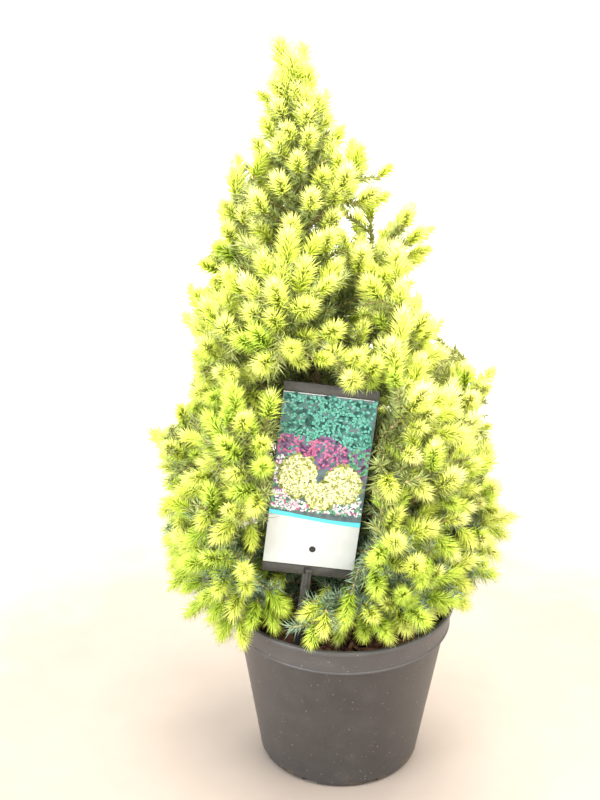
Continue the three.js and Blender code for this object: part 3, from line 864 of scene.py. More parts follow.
def grow_side_twig(here, stem, longest, room):
    """Tries a finer twig with its tuft from a place on a stem."""
    for spin in detail.uniform(0, FULL_TURN, TURNS_TRIED):
        leave = turned_from(stem, detail.uniform(*SIDE_ANGLE), spin)
        scale = spray_scale(here[2])
        size = detail.uniform(*SIDE_SIZE)
        length = SPRAY_LENGTH[0] * size * scale
        radius = SPRAY_RADIUS[0] * size * scale
        for reach in np.linspace(longest, SHORTEST_SIDE_TWIG, REACHES_TRIED):
            end = here + leave * reach
            direction = spray_direction(leave, end[2])
            if not tuft_fits(end, direction, length, radius, room):
                continue
            if is_blocked(balls_along(here, end, TWIG_ROOM, ROOM_STEP)):
                continue
            add_twig("side", here, end)
            add_tuft(end, direction, length, radius, painted_light_tone(here) + detail.normal(*SIDE_TONE))
            return


def add_old_twigs(root, start, room):
    """Older side twigs between the tufts, which carry only last year's needles."""
    for share in detail.uniform(0.25, 1.0, OLD_SIDE_TWIGS):
        here = mix(root, start, share)
        angle, spin = detail.uniform(*OLD_ANGLE), detail.uniform(0, FULL_TURN)
        leave = turned_from(unit(start - root), angle, spin)
        end = here + spray_direction(leave, here[2] + OLD_LIFT) * detail.uniform(*OLD_REACH)
        if in_open_gap(end) or room(end) <= OLD_DEPTH:
            continue
        if not is_blocked(balls_along(here, end, NEEDLE_ROOM, ROOM_STEP)):
            add_twig("older", here, end)


for mass in masses:
    room = crown_room(mass["limb"])
    for shoot in mass["shoots"]:
        root, start = shoot["root"], shoot["start"]
        reach = float(np.linalg.norm(start - root))
        twig = unit(start - root)
        add_twig("leading", root, start)
        add_old_twigs(root, start, room)
        if "room" in mass["limb"]:
            continue
        along = FIRST_SIDE_TWIG
        while along < reach:
            here = root + twig * along
            if detail.uniform() < along_knots(SIDE_SHARE, here[2]):
                grow_side_twig(here, twig, LONGEST_SIDE_TWIG, room)
            along += detail.uniform(*SIDE_TWIG_GAPS)
print(len(tufts) - leading, "tufts on side twigs")

# %% [markdown]
# The stem of each mass is a twig too, thick at the bough and thin at its end, so it is
# listed as six short bars that follow its curve. Finer twigs grow straight from it. Along
# the inner part of the limb stand older twigs in the shade. Nobody counts them, but
# without them one could look right through the crown to the other side.

# %% Stems and inner twigs
STEM_BARS = 6
LONGEST_STEM_TWIG = 42.0
INNER_STEP = 5.0
INNER_DEPTH = 8
INNER_ANGLE = (45, 75)
INNER_REACH = (14, 30)
INNER_SHARES = (0.12, 0.95)
INNER_GAPS = (0.8, 1.4)
INNER_LIFT = 80
# Inner twigs are full long only on a long limb: on a short one, down to this share.
INNER_LEAST, INNER_GROWS_OVER = 0.4, 120
STEM_TWIG_GAPS = (4, 7)
CLOTHED_FROM = 0.3
STEM_CLOTHED = (2.2, -0.4)
BOUGH_CLOTHED = (1.4, -0.9)


def grow_on_stem(limb):
    """Finer twigs straight from a limb's stem."""
    line, room = limb["line"], crown_room(limb)
    share = limb["from"]
    while share < 1:
        here = line(share)
        if detail.uniform() < along_knots(SIDE_SHARE, here[2]):
            grow_side_twig(here, direction_on(line, share), LONGEST_STEM_TWIG, room)
        share += detail.uniform(*STEM_TWIG_GAPS) / limb["length"]


def grow_inner(limb):
    """Older twigs along a limb, which carry only last year's needles."""
    line = limb["line"]
    shortened = min(1.0, INNER_LEAST + limb["length"] / INNER_GROWS_OVER)
    share, last = INNER_SHARES
    while share < last:
        here = line(share)
        angle, spin = detail.uniform(*INNER_ANGLE), detail.uniform(0, FULL_TURN)
        leave = turned_from(direction_on(line, share), angle, spin)
        length = detail.uniform(*INNER_REACH) * shortened
        end = here + spray_direction(leave, here[2] + INNER_LIFT) * length
        share += INNER_STEP / limb["length"] * detail.uniform(*INNER_GAPS)
        if depth_in_crown(end) < INNER_DEPTH or in_open_gap(end):
            continue
        if not is_blocked(balls_along(here, end, NEEDLE_ROOM, ROOM_STEP)):
            add_twig("inner", here, end)


for limb in limbs:
    line, radius_at = limb["line"], limb["radius_at"]
    for i in range(STEM_BARS):
        low, high = (mix(limb["from"], 1, (i + k) / STEM_BARS) for k in (0, 1))
        add_bar(line(low), line(high), radius_at(low), radius_at(high), *STEM_CLOTHED)
    grow_on_stem(limb)
    if limb["name"] != "leader":
        grow_inner(limb)
        old_bars.append((line(CLOTHED_FROM), line(limb["from"]), *BOUGH_CLOTHED))
print(len(tufts), "tufts,", len(twig_bars), "twigs,", len(old_bars), "clothed bars")

# %% [markdown]
# A young trunk still holds short twigs and needles between its limbs. They leave it by
# the golden angle again, one every few millimetres. Near the top, where the crown is
# narrow, they reach its face and end in tufts of their own. Lower down they only fill the
# shade behind the limbs.

# %% Twigs on the trunk
TRUNK_TWIGS_FROM = 165
TRUNK_TWIG_STEP = 2.4
TRUNK_TWIG_RISE = 0.55
TRUNK_TWIG_REACH = (4, 74)
TRUNK_INNER_REACH = (30, 86)
TRUNK_INNER_SHARE = 0.72
TWIG_END_ABOVE = 20
TRUNK_TUFT_SIZE = (0.85, 1.05)
FINE_TONE_CHANGE = 0.3

for height in np.arange(TRUNK_TWIGS_FROM, TRUNK_TIP - 2, TRUNK_TWIG_STEP):
    here = trunk_point(height)
    azimuth = height * GOLDEN_ANGLE / TRUNK_TWIG_STEP
    outward = unit(np.array([math.cos(azimuth), math.sin(azimuth), TRUNK_TWIG_RISE]))
    width = crown_radius(height + TWIG_END_ABOVE, azimuth)
    scale = spray_scale(height)
    reach = width - 0.7 * SPRAY_LENGTH[0] * scale
    if TRUNK_TWIG_REACH[0] < reach < TRUNK_TWIG_REACH[1]:
        for shorter in (1.0, 0.8, 0.6):
            end = here + outward * reach * shorter
            direction = spray_direction(outward, end[2])
            length = SPRAY_LENGTH[0] * scale * detail.uniform(*TRUNK_TUFT_SIZE)
            radius = SPRAY_RADIUS[0] * scale
            if tuft_fits(end, direction, length, radius, depth_in_crown):
                add_twig("trunk side", here, end)
                tone = painted_light_tone(end) + detail.normal(0, FINE_TONE_CHANGE)
                add_tuft(end, direction, length, radius, tone)
                break
    end = here + outward * min(detail.uniform(*TRUNK_INNER_REACH), width * TRUNK_INNER_SHARE)
    if not in_open_gap(end) and not is_blocked(balls_along(here, end, NEEDLE_ROOM, ROOM_STEP)):
        add_twig("trunk inner", here, end)
print(len(tufts), "tufts and", len(twig_bars), "twigs with the trunk's")

# %% [markdown]
# The plant's tip is a slim sheaf: upright tufts stand close round the leader, the upper
# ones steeper and a little shorter. The growth rule would spread them like the rest, so
# these few are placed by a turn and a height of their own.

# %% Tufts round the leader
LEADER_TUFTS = 10
LEADER_HEIGHTS = (530, 581)
LEADER_SPREAD = (0.36, 0.18)
LEADER_LENGTH = (38, 33)
LEADER_RADIUS = 12.5
LEADER_CLOTHED = (2.6, -0.2)
LEADER_CLOTHED_FROM = 440
LEADER_TURN = 0.4
# The upper tufts are a little paler: painted light at the plant's top.
LEADER_TONE, LEADER_PAINTED_LIGHT = 2.3, 0.4
TUFT_OUT, TUFT_UP = 5, 4

for k in range(LEADER_TUFTS):
    azimuth = k * GOLDEN_ANGLE + LEADER_TURN
    share = k / (LEADER_TUFTS - 1)
    outward = np.array([math.cos(azimuth), math.sin(azimuth), 0.0])
    here = trunk_point(mix(*LEADER_HEIGHTS, share))
    direction = unit(outward * mix(*LEADER_SPREAD, share) + UP)
    start = here + outward * TUFT_OUT + UP * TUFT_UP
    add_twig("trunk top", here, start)
    tone = LEADER_TONE + LEADER_PAINTED_LIGHT * share
    add_tuft(start, direction, mix(*LEADER_LENGTH, share), LEADER_RADIUS, tone)
old_bars.append((trunk_point(LEADER_CLOTHED_FROM), trunk_point(TRUNK_TIP), *LEADER_CLOTHED))
print(len(tufts), "tufts with the leader's")

# %% [markdown]
# At the crown's foot the lowest twigs spread out level over the pot's rim and hang a
# little, so that the crown closes towards the soil. The limbs start too high to do that.
# These twigs leave the trunk's foot instead, every second one towards the front, where
# the foot is seen best.

# %% Twigs at the crown's foot
LOW_TWIGS = 72
FIRST_LOW_TWIG = 141
LOW_TWIG_STEP = 0.8
FRONT_TURNS = (-2.7, -0.4)
SHORTENED_BY = (0, 34)
LOW_TURN = 1.0
LOW_RISE = 0.1
LOW_TUFT_SIZE = (0.8, 1.0)
LOW_DROP = 15
CLEAR_OF_TRUNK = 12


def room_at_foot(tip):
    """Room for a tuft at any depth, as the crown's foot is thin."""
    return min(depth_in_crown(tip), FACE_DEPTH)


for k in range(LOW_TWIGS):
    here = trunk_point(FIRST_LOW_TWIG + LOW_TWIG_STEP * k)
    azimuth = k * GOLDEN_ANGLE + LOW_TURN
    if k % 2:
        azimuth = detail.uniform(*FRONT_TURNS)
    outward = unit(np.array([math.cos(azimuth), math.sin(azimuth), LOW_RISE]))
    reach = crown_radius(here[2] + 10, azimuth) - 0.75 * SPRAY_LENGTH[0]
    reach -= detail.uniform(*SHORTENED_BY)
    for shorter in (1.0, 0.9, 0.8, 0.7, 0.6):
        end = here + outward * reach * shorter
        direction = spray_direction(outward, end[2] - LOW_DROP)
        length = SPRAY_LENGTH[0] * detail.uniform(*LOW_TUFT_SIZE)
        if is_blocked(balls_along(here + outward * CLEAR_OF_TRUNK, end, TWIG_ROOM, ROOM_STEP)):
            continue
        if tuft_fits(end, direction, length, SPRAY_RADIUS[0], room_at_foot):
            add_twig("low", here, end)
            tone = painted_light_tone(end) + detail.normal(0, FINE_TONE_CHANGE)
            add_tuft(end, direction, length, SPRAY_RADIUS[0] * 0.95, tone)
            break
print(len(tufts), "tufts with those at the crown's foot")

# %% [markdown]
# Some places inside the crown are still empty. More twigs everywhere would close them,
# but also crowd the rest and cost triangles. So places are drawn at random, and only one
# that is far from every clothed twig gets a short twig from the nearest, as twigs do
# grow towards light. After that the only large patch of sky is the one beside the open
# branches.

# %% Twigs into empty places
PLACES_TRIED = 2500
EMPTY_ROOM = 11.5
PLACES_FROM = (-160, -135, 165)
PLACES_TO = (150, 150, 540)

occupied = np.vstack([mix(bar[0], bar[1], share) for bar in old_bars for share in (0.0, 0.5, 1.0)])
filled = 0
for place in detail.uniform(PLACES_FROM, PLACES_TO, (PLACES_TRIED, 3)):
    apart = np.linalg.norm(occupied - place, axis=1)
    if depth_in_crown(place) < OLD_DEPTH or in_open_gap(place) or apart.min() < EMPTY_ROOM:
        continue
    near = occupied[apart.argmin()]
    if is_blocked(balls_along(near, place, NEEDLE_ROOM, ROOM_STEP)):
        continue
    add_twig("filling", near, place)
    occupied = np.vstack([occupied, mix(near, place, 0.5), place])
    filled += 1
print(filled, "twigs into empty places")

# %% [markdown]
# A spruce needle is slim and stiff, and a few of them show as single strokes. One could
# be modelled and copied as instances, but so many objects would be slow, and all would
# share one tone. So each is the plainest solid that reads as a needle: a straight pyramid
# of four faces, widest at its foot. About a million corners are worked out as arrays,
# which takes seconds where mesh operators take minutes.

# %% Needles from arrays
NEEDLE_FACES = np.array([[0, 2, 1], [3, 0, 1], [3, 1, 2], [3, 2, 0]])


def mesh_from_arrays(name, vertices_mm, triangles, material, smooth=True):
    """A joined piece from arrays of corners and triangles."""
    mesh = bpy.data.meshes.new(name)
    count, faces = len(vertices_mm), len(triangles)
    mesh.vertices.add(count)
    mesh.vertices.foreach_set("co", (vertices_mm * MM).astype(np.float32).ravel())
    mesh.loops.add(faces * 3)
    mesh.loops.foreach_set("vertex_index", triangles.astype(np.int32).ravel())
    mesh.polygons.add(faces)
    mesh.polygons.foreach_set("loop_start", np.arange(faces, dtype=np.int32) * 3)
    mesh.update(calc_edges=True)
    mesh.polygons.foreach_set("use_smooth", np.full(faces, smooth))
    mesh.materials.append(material)
    piece = bpy.data.objects.new(name, mesh)
    bpy.context.collection.objects.link(piece)
    return piece


def copied_faces(faces, corners, count):
    """The faces of one small shape, said again for each of its copies."""
    return (np.array(faces)[None] + corners * np.arange(count)[:, None, None]).reshape(-1, 3)


def units(vectors):
    """Many vectors, each of length 1."""
    return vectors / np.linalg.norm(vectors, axis=1, keepdims=True)


def frames_for(directions):
    """Two square directions for each of many directions."""
    reference = np.where(np.abs(directions[:, 2:3]) > UPRIGHT, RIGHT, UP)
    side = units(np.cross(directions, reference))
    return side, np.cross(side, directions)


def ring_of(centres, directions, radii, sides, turn=0.0):
    """The corners of a ring round each of many centres, one array for each corner."""
    side, above = frames_for(directions)
    angles = [2 * math.pi * k / sides + turn for k in range(sides)]
    return [centres + (side * math.cos(a) + above * math.sin(a)) * radii[:, None] for a in angles]


def needle_arrays(feet, directions, lengths, widths):
    """Corners and triangles of many straight needles, widest at the foot."""
    corners = ring_of(feet, directions, widths / 2, 3, 0.5) + [feet + directions * lengths[:, None]]
    vertices = np.stack(corners, axis=1).reshape(-1, 3)
    return vertices, copied_faces(NEEDLE_FACES, len(corners), len(feet))


print("a needle has", len(NEEDLE_FACES), "faces")

# %% [markdown]
# New needles are soft and thin-skinned, with a bloom of wax: cream at the tuft's tip and
# lime lower down. To the eye that is a satin surface whose colour changes from needle to
# needle and not along one. A texture over the whole crown would not follow the tufts. So
# each needle gets one of eight tones by its place in its tuft and by the tuft's light,
# and the needles of one tone are joined into one piece with a plain colour, which also
# keeps its place in the exported model. Needles spread wide at the tuft's foot and close
# towards its tip, like a brush.

# %% New growth
# The first six tones run from lime to cream; the last two are greener limes, given as painted shade.
NEW_TONES = [
    "#bdd03e", "#d1e050", "#e0eb64", "#ecf27e",
    "#f4f498", "#f9f8bc", "#b4cf3e", "#d2e65a",
]
YELLOW_TONES = 6
NEW_WIDTH = 1.15
# Needles for each millimetre of a tuft of the usual radius.
NEEDLES_PER_MM = 5.4
USUAL_RADIUS = 12
NEEDLE_SHARE = [(200, 1.0), (400, 1.06), (560, 1.15)]
NEEDLE_SPREAD = 58
CLOSING = 0.85
CURVE_AT = 0.6
TIP_PALER = 2.4
EVEN_AT = 0.45
NEEDLE_TONE_CHANGE = 0.12
WAX_IOR = 1.42
FEET_CROWD = 0.85
CLOSES_LATE = 7
SPREAD_VARIES = 14
TURNS_FORWARD = 0.8
DROOP = 0.06
LAST_FOOT = 0.97
OFF_AXIS = 0.5
END_LENGTH, MIDDLE_LONGER, LENGTH_VARIES = 0.92, 0.12, 0.09
PAINTED_SHADE_LEVEL, PAINTED_SHADE_BAND, PAINTED_SHADE_LEFT = 250, 200, 0.1


def tuft_needles(start, direction, length, radius, count, phase):
    """Feet, directions and lengths of one tuft's needles, and their place along it."""
    index = np.arange(count)
    place = ((index + 0.5) / count) ** FEET_CROWD
    needle = along_knots(NEEDLE_SHARE, start[2]) * radius
    side, above = cross_frame(direction)
    spin = index * GOLDEN_ANGLE + phase
    round_axis = side * np.cos(spin)[:, None] + above * np.sin(spin)[:, None]
    closed = 1 - CLOSING * place ** CLOSES_LATE
    degrees = NEEDLE_SPREAD * closed + detail.normal(0, SPREAD_VARIES, count)
    spread = np.radians(degrees)[:, None]
    leave = direction * np.cos(spread) + round_axis * np.sin(spread)
    arrive = units(leave + direction * TURNS_FORWARD - UP * DROOP)
    heading = units(leave * CURVE_AT + arrive * (1 - CURVE_AT))
    feet = start + direction * (place * (length - LAST_FOOT * needle))[:, None] + round_axis * OFF_AXIS
    longer = END_LENGTH + MIDDLE_LONGER * np.sin(math.pi * place)
    lengths = needle * (longer + detail.normal(0, LENGTH_VARIES, count))
    return feet, heading, lengths, place


def painted_shade_share(point):
    """How often a tuft takes the greener tones, as painted shade: low down and on the left."""
    lower = 0.5 - 0.5 * (point[2] - PAINTED_SHADE_LEVEL) / PAINTED_SHADE_BAND
    return clamp01(lower - PAINTED_SHADE_LEFT * point[0] / CROWN_HALF_WIDTH)


def new_needles():
    """The needles of every tuft, each with the number of its tone."""
    for start, direction, length, radius, tone in tufts:
        count = int(round(NEEDLES_PER_MM * length * radius / USUAL_RADIUS))
        phase = detail.uniform(0, 6.3)
        feet, heading, lengths, place = tuft_needles(start, direction, length, radius, count, phase)
        shade = tone + TIP_PALER * (place - EVEN_AT) + detail.normal(0, NEEDLE_TONE_CHANGE, count)
        tones = np.clip(np.floor(shade), 0, YELLOW_TONES - 1).astype(int)
        # Painted shade: low down and on the left, a tuft takes the greener limes.
        if detail.uniform() < painted_shade_share(start):
            shade_limes = np.where(tones <= 1, YELLOW_TONES, YELLOW_TONES + 1)
            tones = np.where(tones <= 3, shade_limes, tones)
        yield feet, heading, lengths, tones


def join_by_tone(name, needles, colours, width, finish, roughness):
    """Joins needles into one piece for each tone, with a satin, waxy skin."""
    feet, headings, lengths, tones = (np.concatenate(part) for part in zip(*needles))
    pieces = []
    for k, colour in enumerate(colours):
        chosen = tones == k
        widths = width * detail.uniform(0.85, 1.15, int(chosen.sum()))
        arrays = needle_arrays(feet[chosen], headings[chosen], lengths[chosen], widths)
        material = new_material(f"{finish}_{k}", colour, roughness, WAX_IOR)[0]
        pieces.append(mesh_from_arrays(f"{name}_{k}", *arrays, material))
        print(pieces[-1].name, len(arrays[1]), "triangles")
    return pieces


new_pieces = join_by_tone("new_needles", new_needles(), NEW_TONES, NEW_WIDTH, "soft_needles", 0.45)

# %% [markdown]
# Last year's needles are stiffer and stand off the twig all round. Their skin is thicker
# and a little less glossy, and their colour is yellow-green at the crown's face and
# bluish low down. Deeper in the crown they are painted darker, as painted shade. The
# twigs were listed with how densely they are clothed, so the same array code makes these
# needles, in six tones.

# %% Old needles
OLD_TONES = ["#6a7a4a", "#889654", "#a3ae62", "#b8c07a", "#708b68", "#95ad8f"]
OLD_WIDTH = 1.15
OLD_LENGTH = 11.5
OLD_LENGTHS = (0.8, 1.12)
OLD_SPREAD = (46, 9)
OLD_SPIN_VARIES = 0.4
OLD_LIFTED = 0.1
OLD_OFF_AXIS = 0.4
OLD_TONE_CHANGE = 0.45
OLD_SHADE = 3.3
# Needles deep in the crown take darker tones: painted shade.
INSIDE_PAINTED_SHADE = 1.7
PAINTED_SHADE_DEPTH = 90
COOL_BELOW = 235.0
COOL_EDGE = 22


def old_needles():
    """The needles along every clothed stretch, each with the number of its tone."""
    for start, end, clothed, tone in old_bars:
        span = float(np.linalg.norm(end - start))
        count = max(3, int(span * clothed))
        axis = unit(end - start)
        place = (np.arange(count) + detail.uniform(0, 1, count)) / count
        side, above = cross_frame(axis)
        spin = np.arange(count) * GOLDEN_ANGLE + detail.normal(0, OLD_SPIN_VARIES, count)
        round_axis = side * np.cos(spin)[:, None] + above * np.sin(spin)[:, None]
        spread = np.radians(detail.normal(*OLD_SPREAD, count))[:, None]
        leave = axis * np.cos(spread) + round_axis * np.sin(spread) + UP * OLD_LIFTED
        feet = start + axis * (place * span)[:, None] + round_axis * OLD_OFF_AXIS
        lengths = OLD_LENGTH * detail.uniform(*OLD_LENGTHS, count)
        middle = (start + end) / 2
        painted_shade = clamp01(depth_in_crown(middle) / PAINTED_SHADE_DEPTH) * INSIDE_PAINTED_SHADE
        shade = OLD_SHADE + tone - painted_shade + detail.normal(0, OLD_TONE_CHANGE, count)
        tones = np.clip(np.floor(shade), 0, 3).astype(int)
        cool = middle[2] + detail.normal(0, COOL_EDGE, count) < COOL_BELOW
        tones = np.where(cool, np.where(tones >= 2, 5, 4), tones)
        yield feet, units(leave), lengths, tones


old_pieces = join_by_tone("old_needles", old_needles(), OLD_TONES, OLD_WIDTH, "stiff_needles", 0.5)

# %% [markdown]
# Twigs are round, but only a few millimetres thick and half hidden by needles, so four
# sides are enough: their tapered bars come from arrays as the needles do. At each tuft's
# foot the burst bud leaves a collar of papery brown scales, which shows as a warm dot
# between the needles. It is a short bar that widens outwards. Both are natural surfaces
# of mottled colour, so from here on one function makes a material whose colour wanders
# by a noise of a real size.

# %% Twigs and bud scales
TWIG_SIDES = 4
COLLAR = (1.4, 2.2)
COLLAR_RADIUS = 1.0
COLLAR_WIDENS = 1.55


def bar_arrays(starts, ends, thick, thin):
    """Corners and triangles of many tapered bars, closed at both ends by a low point."""
    axes = units(ends - starts)
    corners = ring_of(starts, axes, thick, TWIG_SIDES) + ring_of(ends, axes, thin, TWIG_SIDES)
    corners += [starts - axes * thick[:, None] * 0.4, ends + axes * thin[:, None] * 0.6]
    faces = []
    for k in range(TWIG_SIDES):
        after = (k + 1) % TWIG_SIDES
        far, far_after = TWIG_SIDES + k, TWIG_SIDES + after
        faces += [[k, after, far_after], [k, far_after, far]]
        faces += [[2 * TWIG_SIDES, after, k], [2 * TWIG_SIDES + 1, far, far_after]]
    vertices = np.stack(corners, axis=1).reshape(-1, 3)
    return vertices, copied_faces(faces, len(corners), len(starts))


def mottled(name, roughness, grain_mm, stops, octaves=3.0, crumble=0.55, relief_mm=0.0, strength=0.6):
    """A material whose colour wanders by a noise with features of grain_mm. The same noise
    raises the surface by relief_mm. Returns it with its tree, shader and place socket."""
    material, tree, shader = new_material(name, stops[0][1], roughness)
    place = add_node(tree, "ShaderNodeTexCoord").outputs["Object"]
    grain = add_node(tree, "ShaderNodeTexNoise", None, {
        "Vector": place, "Scale": 1 / (grain_mm * MM), "Detail": octaves, "Roughness": crumble,
    }).outputs["Fac"]
    colours = add_node(tree, "ShaderNodeValToRGB", None, {"Fac": grain}, stops)
    tree.links.new(colours.outputs["Color"], shader.inputs["Base Color"])
    if relief_mm:
        bump = add_node(tree, "ShaderNodeBump", None, {
            "Height": grain, "Distance": relief_mm * MM, "Strength": strength,
        })
        tree.links.new(bump.outputs["Normal"], shader.inputs["Normal"])
    return material, tree, shader, place


# Young spruce bark is a smooth tan skin with paler ridges. They are a millimetre apart,
# too fine to show here, so they are drawn three millimetres apart.
young_bark = mottled("young_bark", 0.7, 3.0, [(0.3, "#94804e"), (0.7, "#cbb683")], relief_mm=0.25)[0]
# Bud scales are dry papery husks: matt, with patches half as wide as those ridges.
papery_scale = mottled("bud_scales", 0.6, 1.5, [(0.3, "#a08048"), (0.7, "#d2b57c")])[0]

bars = [np.array([bar[k] for bar in twig_bars]) for k in range(4)]
twigs = mesh_from_arrays("twigs", *bar_arrays(*bars), young_bark)
collar_starts = np.array([tuft[0] - tuft[1] * COLLAR[0] for tuft in tufts])
collar_ends = np.array([tuft[0] + tuft[1] * COLLAR[1] for tuft in tufts])
collar_radii = np.full(len(tufts), COLLAR_RADIUS)
collars = bar_arrays(collar_starts, collar_ends, collar_radii, collar_radii * COLLAR_WIDENS)
bud_scales = mesh_from_arrays("bud_scales", *collars, papery_scale)
print(len(twigs.data.polygons), "twig faces,", len(bud_scales.data.polygons), "scale faces")

# %% [markdown]
# Old spruce bark is thin grey-brown flakes with rusty cracks between them. To the eye it
# is quite matt, its colour changes over a few millimetres, and each flake catches light
# at its edge. A photograph could be wrapped round the trunk, but a cell pattern of the
# flakes' real size does it with no seam: the distance to each cell's edge is the height.

# %% Bark
FLAKES_IN_METRE = 300.0
FLAKE_RELIEF = 0.8


def make_bark_material():
    """Spruce bark: thin grey-brown flakes with rusty cracks between them."""
    stops = [(0.25, "#574231"), (0.55, "#82674d"), (0.8, "#a58b6f")]
    material, tree, shader, place = mottled("scaly_bark", 0.85, 4.0, stops)
    flakes = add_node(tree, "ShaderNodeTexVoronoi", {"feature": "DISTANCE_TO_EDGE"}, {
        "Vector": place, "Scale": FLAKES_IN_METRE,
    })
    bump = add_node(tree, "ShaderNodeBump", None, {
        "Height": flakes.outputs["Distance"], "Distance": FLAKE_RELIEF * MM, "Strength": 0.6,
    })
    tree.links.new(bump.outputs["Normal"], shader.inputs["Normal"])
    return material


bark = make_bark_material()
print("bark with flakes of", round(1000 / FLAKES_IN_METRE, 1), "mm")

# %% [markdown]
# Trunk and boughs are tapering, bent rods. A curve with a round bevel would give their
# shape, but no bumps. So a ring of corners is extruded station by station along the
# limb's line, and each corner is pushed in or out by noise, which makes the knots and
# ridges real relief. Both ends are closed with a face.

# %% Trunk and boughs
TRUNK_SIDES, TRUNK_STEPS, TRUNK_RELIEF = 20, 120, 0.9
BOUGH_SIDES, BOUGH_STEPS, BOUGH_RELIEF = 10, 24, 0.35
JOINT_SWELL = 0.25
# Waves for each millimetre, and how strong each is.
RELIEF_WAVES = ((0.22, 1.0), (0.9, 0.4))


def sweep_limb(bm, line, radius_at, sides, steps, relief_mm):
    """Extrudes a ring along a line and closes both ends."""
    ring = bmesh.ops.create_circle(bm, cap_ends=False, segments=sides, radius=1.0)["verts"]
    first = list(ring)
    offsets = [(vertex.co.x, vertex.co.y) for vertex in ring]
    side, _ = cross_frame(unit(line(1) - line(0)))
    for step in range(steps + 1):
        share = step / steps
        along = direction_on(line, share)
        across = unit(side - along * side.dot(along))
        above = np.cross(across, along)
        if step:
            edges = [bm.edges.get(pair) for pair in zip(ring, ring[1:] + ring[:1])]
            grown = bmesh.ops.extrude_edge_only(bm, edges=edges)["geom"]
            new = [g for g in grown if isinstance(g, bmesh.types.BMVert)]
            ring = [min(new, key=lambda v: (v.co - old.co).length_squared) for old in ring]
        for vertex, (x, y) in zip(ring, offsets):
            outward = across * x + above * y
            point = line(share) + outward * radius_at(share)
            relief = sum(size * noise.noise(Vector(point * wave)) for wave, size in RELIEF_WAVES)
            vertex.co = Vector((point + outward * relief * relief_mm) * MM)
    bmesh.ops.contextual_create(bm, geom=first)
    bmesh.ops.contextual_create(bm, geom=ring)
    bmesh.ops.recalc_face_normals(bm, faces=bm.faces)


def make_trunk():
    """The trunk from just above the soil to its tip."""
    def height_at(share):
        return mix(SOIL_TOP + CLEARANCE, TRUNK_TIP, share)

    bm = bmesh.new()
    sweep_limb(
        bm, lambda share: trunk_point(height_at(share)), lambda share: trunk_radius(height_at(share)),
        TRUNK_SIDES, TRUNK_STEPS, TRUNK_RELIEF,
    )
    return as_piece(bm, "trunk_bark", bark, smooth=True)


def make_bough(limb):
    """The bare stretch of a limb, a little swollen where it joins the trunk."""
    def radius_at(share):
        return limb["radius_at"](limb["from"] * share) * (1 + JOINT_SWELL * (1 - share) ** 6)

    bm = bmesh.new()
    sweep_limb(
        bm, lambda share: limb["line"](limb["from"] * share), radius_at,
        BOUGH_SIDES, BOUGH_STEPS, BOUGH_RELIEF,
    )
    return as_piece(bm, "bough_bark_" + limb["name"], bark, smooth=True)


trunk = make_trunk()
boughs = [make_bough(limb) for limb in limbs if limb["name"] != "leader"]
print(len(boughs), "boughs,", len(trunk.data.polygons), "trunk faces")

# %% [markdown]
# The pot is injection moulded: a thin tapered wall with a rounded foot, a wider band with
# a ledge at the rim, and a lip that stiffens it. Everything but the drain slots is round,
# so the half section is drawn once, from the middle of the foot out, up, over the lip and
# down the inside, and spun round the axis.

# %% Pot outline
BASE_RADIUS = 69.0
SHOULDER_RADIUS = 88.5
BAND_FOOT_RADIUS = 91.5
BAND_FOOT = 127.5
POT_WALL = 2.0
POT_FLOOR = 3.0
FOOT_ROUND = 5.0
LIP_ROUND = 1.3
BAND_ROUND = 1.2


def arc_points(centre, radius, start, end, count):
    """Points of an arc, in degrees."""
    angles = np.radians(np.linspace(start, end, count))
    return [(centre[0] + radius * math.cos(a), centre[1] + radius * math.sin(a)) for a in angles]


def inside_radius(height):
    """The inside of the pot's wall."""
    return mix(BASE_RADIUS, SHOULDER_RADIUS, height / BAND_FOOT) - POT_WALL


def pot_outline():
    """Radius and height of the pot's half section, from the middle of its foot."""
    foot = arc_points((BASE_RADIUS - FOOT_ROUND, FOOT_ROUND), FOOT_ROUND, -90, 0, 7)
    wall = [(SHOULDER_RADIUS, BAND_FOOT - 0.4), (SHOULDER_RADIUS + 0.3, BAND_FOOT)]
    band = arc_points((BAND_FOOT_RADIUS - 0.4, BAND_FOOT + BAND_ROUND), BAND_ROUND, -90, 70, 7)
    ledge = [(RIM_RADIUS - 1.9, POT_HEIGHT - 4.6), (RIM_RADIUS - 1.2, POT_HEIGHT - 3.6)]
    ledge += [(RIM_RADIUS, POT_HEIGHT - 3.0)]
    lip = arc_points((RIM_RADIUS - LIP_ROUND, POT_HEIGHT - LIP_ROUND), LIP_ROUND, 0, 90, 5)
    inner = [(RIM_RADIUS - POT_WALL - 1.2, POT_HEIGHT), (RIM_RADIUS - POT_WALL - 1.9, POT_HEIGHT - 0.8)]
    inner += [(BAND_FOOT_RADIUS - POT_WALL, BAND_FOOT + 3), (inside_radius(BAND_FOOT), BAND_FOOT)]
    floor_edge = POT_FLOOR + FOOT_ROUND
    bottom = [(inside_radius(floor_edge), floor_edge), (60.0, POT_FLOOR), (0.0, POT_FLOOR)]
    return [(0.0, 0.0)] + foot + wall + band + ledge + lip + inner + bottom


print("pot outline of", len(pot_outline()), "points")

# %% [markdown]
# The pot is dark grey polypropylene with the soft gloss of its satin steel mould. What
# makes it look used is on top of that: a film of dust in patches, pale specks of lime
# from hard water, and earth splashed up from the ground. The rim band is also painted
# lighter in colour, as a painted highlight for the light that it catches. Each is a
# colour laid over the one below by a mask, the last in the list being on top, and the
# same dust noise also makes the surface less glossy.
# Real lime specks are under a millimetre wide and would not show, so theirs are drawn
# about two millimetres wide.

# %% Pot finish
DUST, SPECKS, SPLASH = 22.0, 2.2, 60.0
DUST_STOPS = [(0.3, "#3d3a39"), (0.55, "#444241"), (0.78, "#504d4a")]
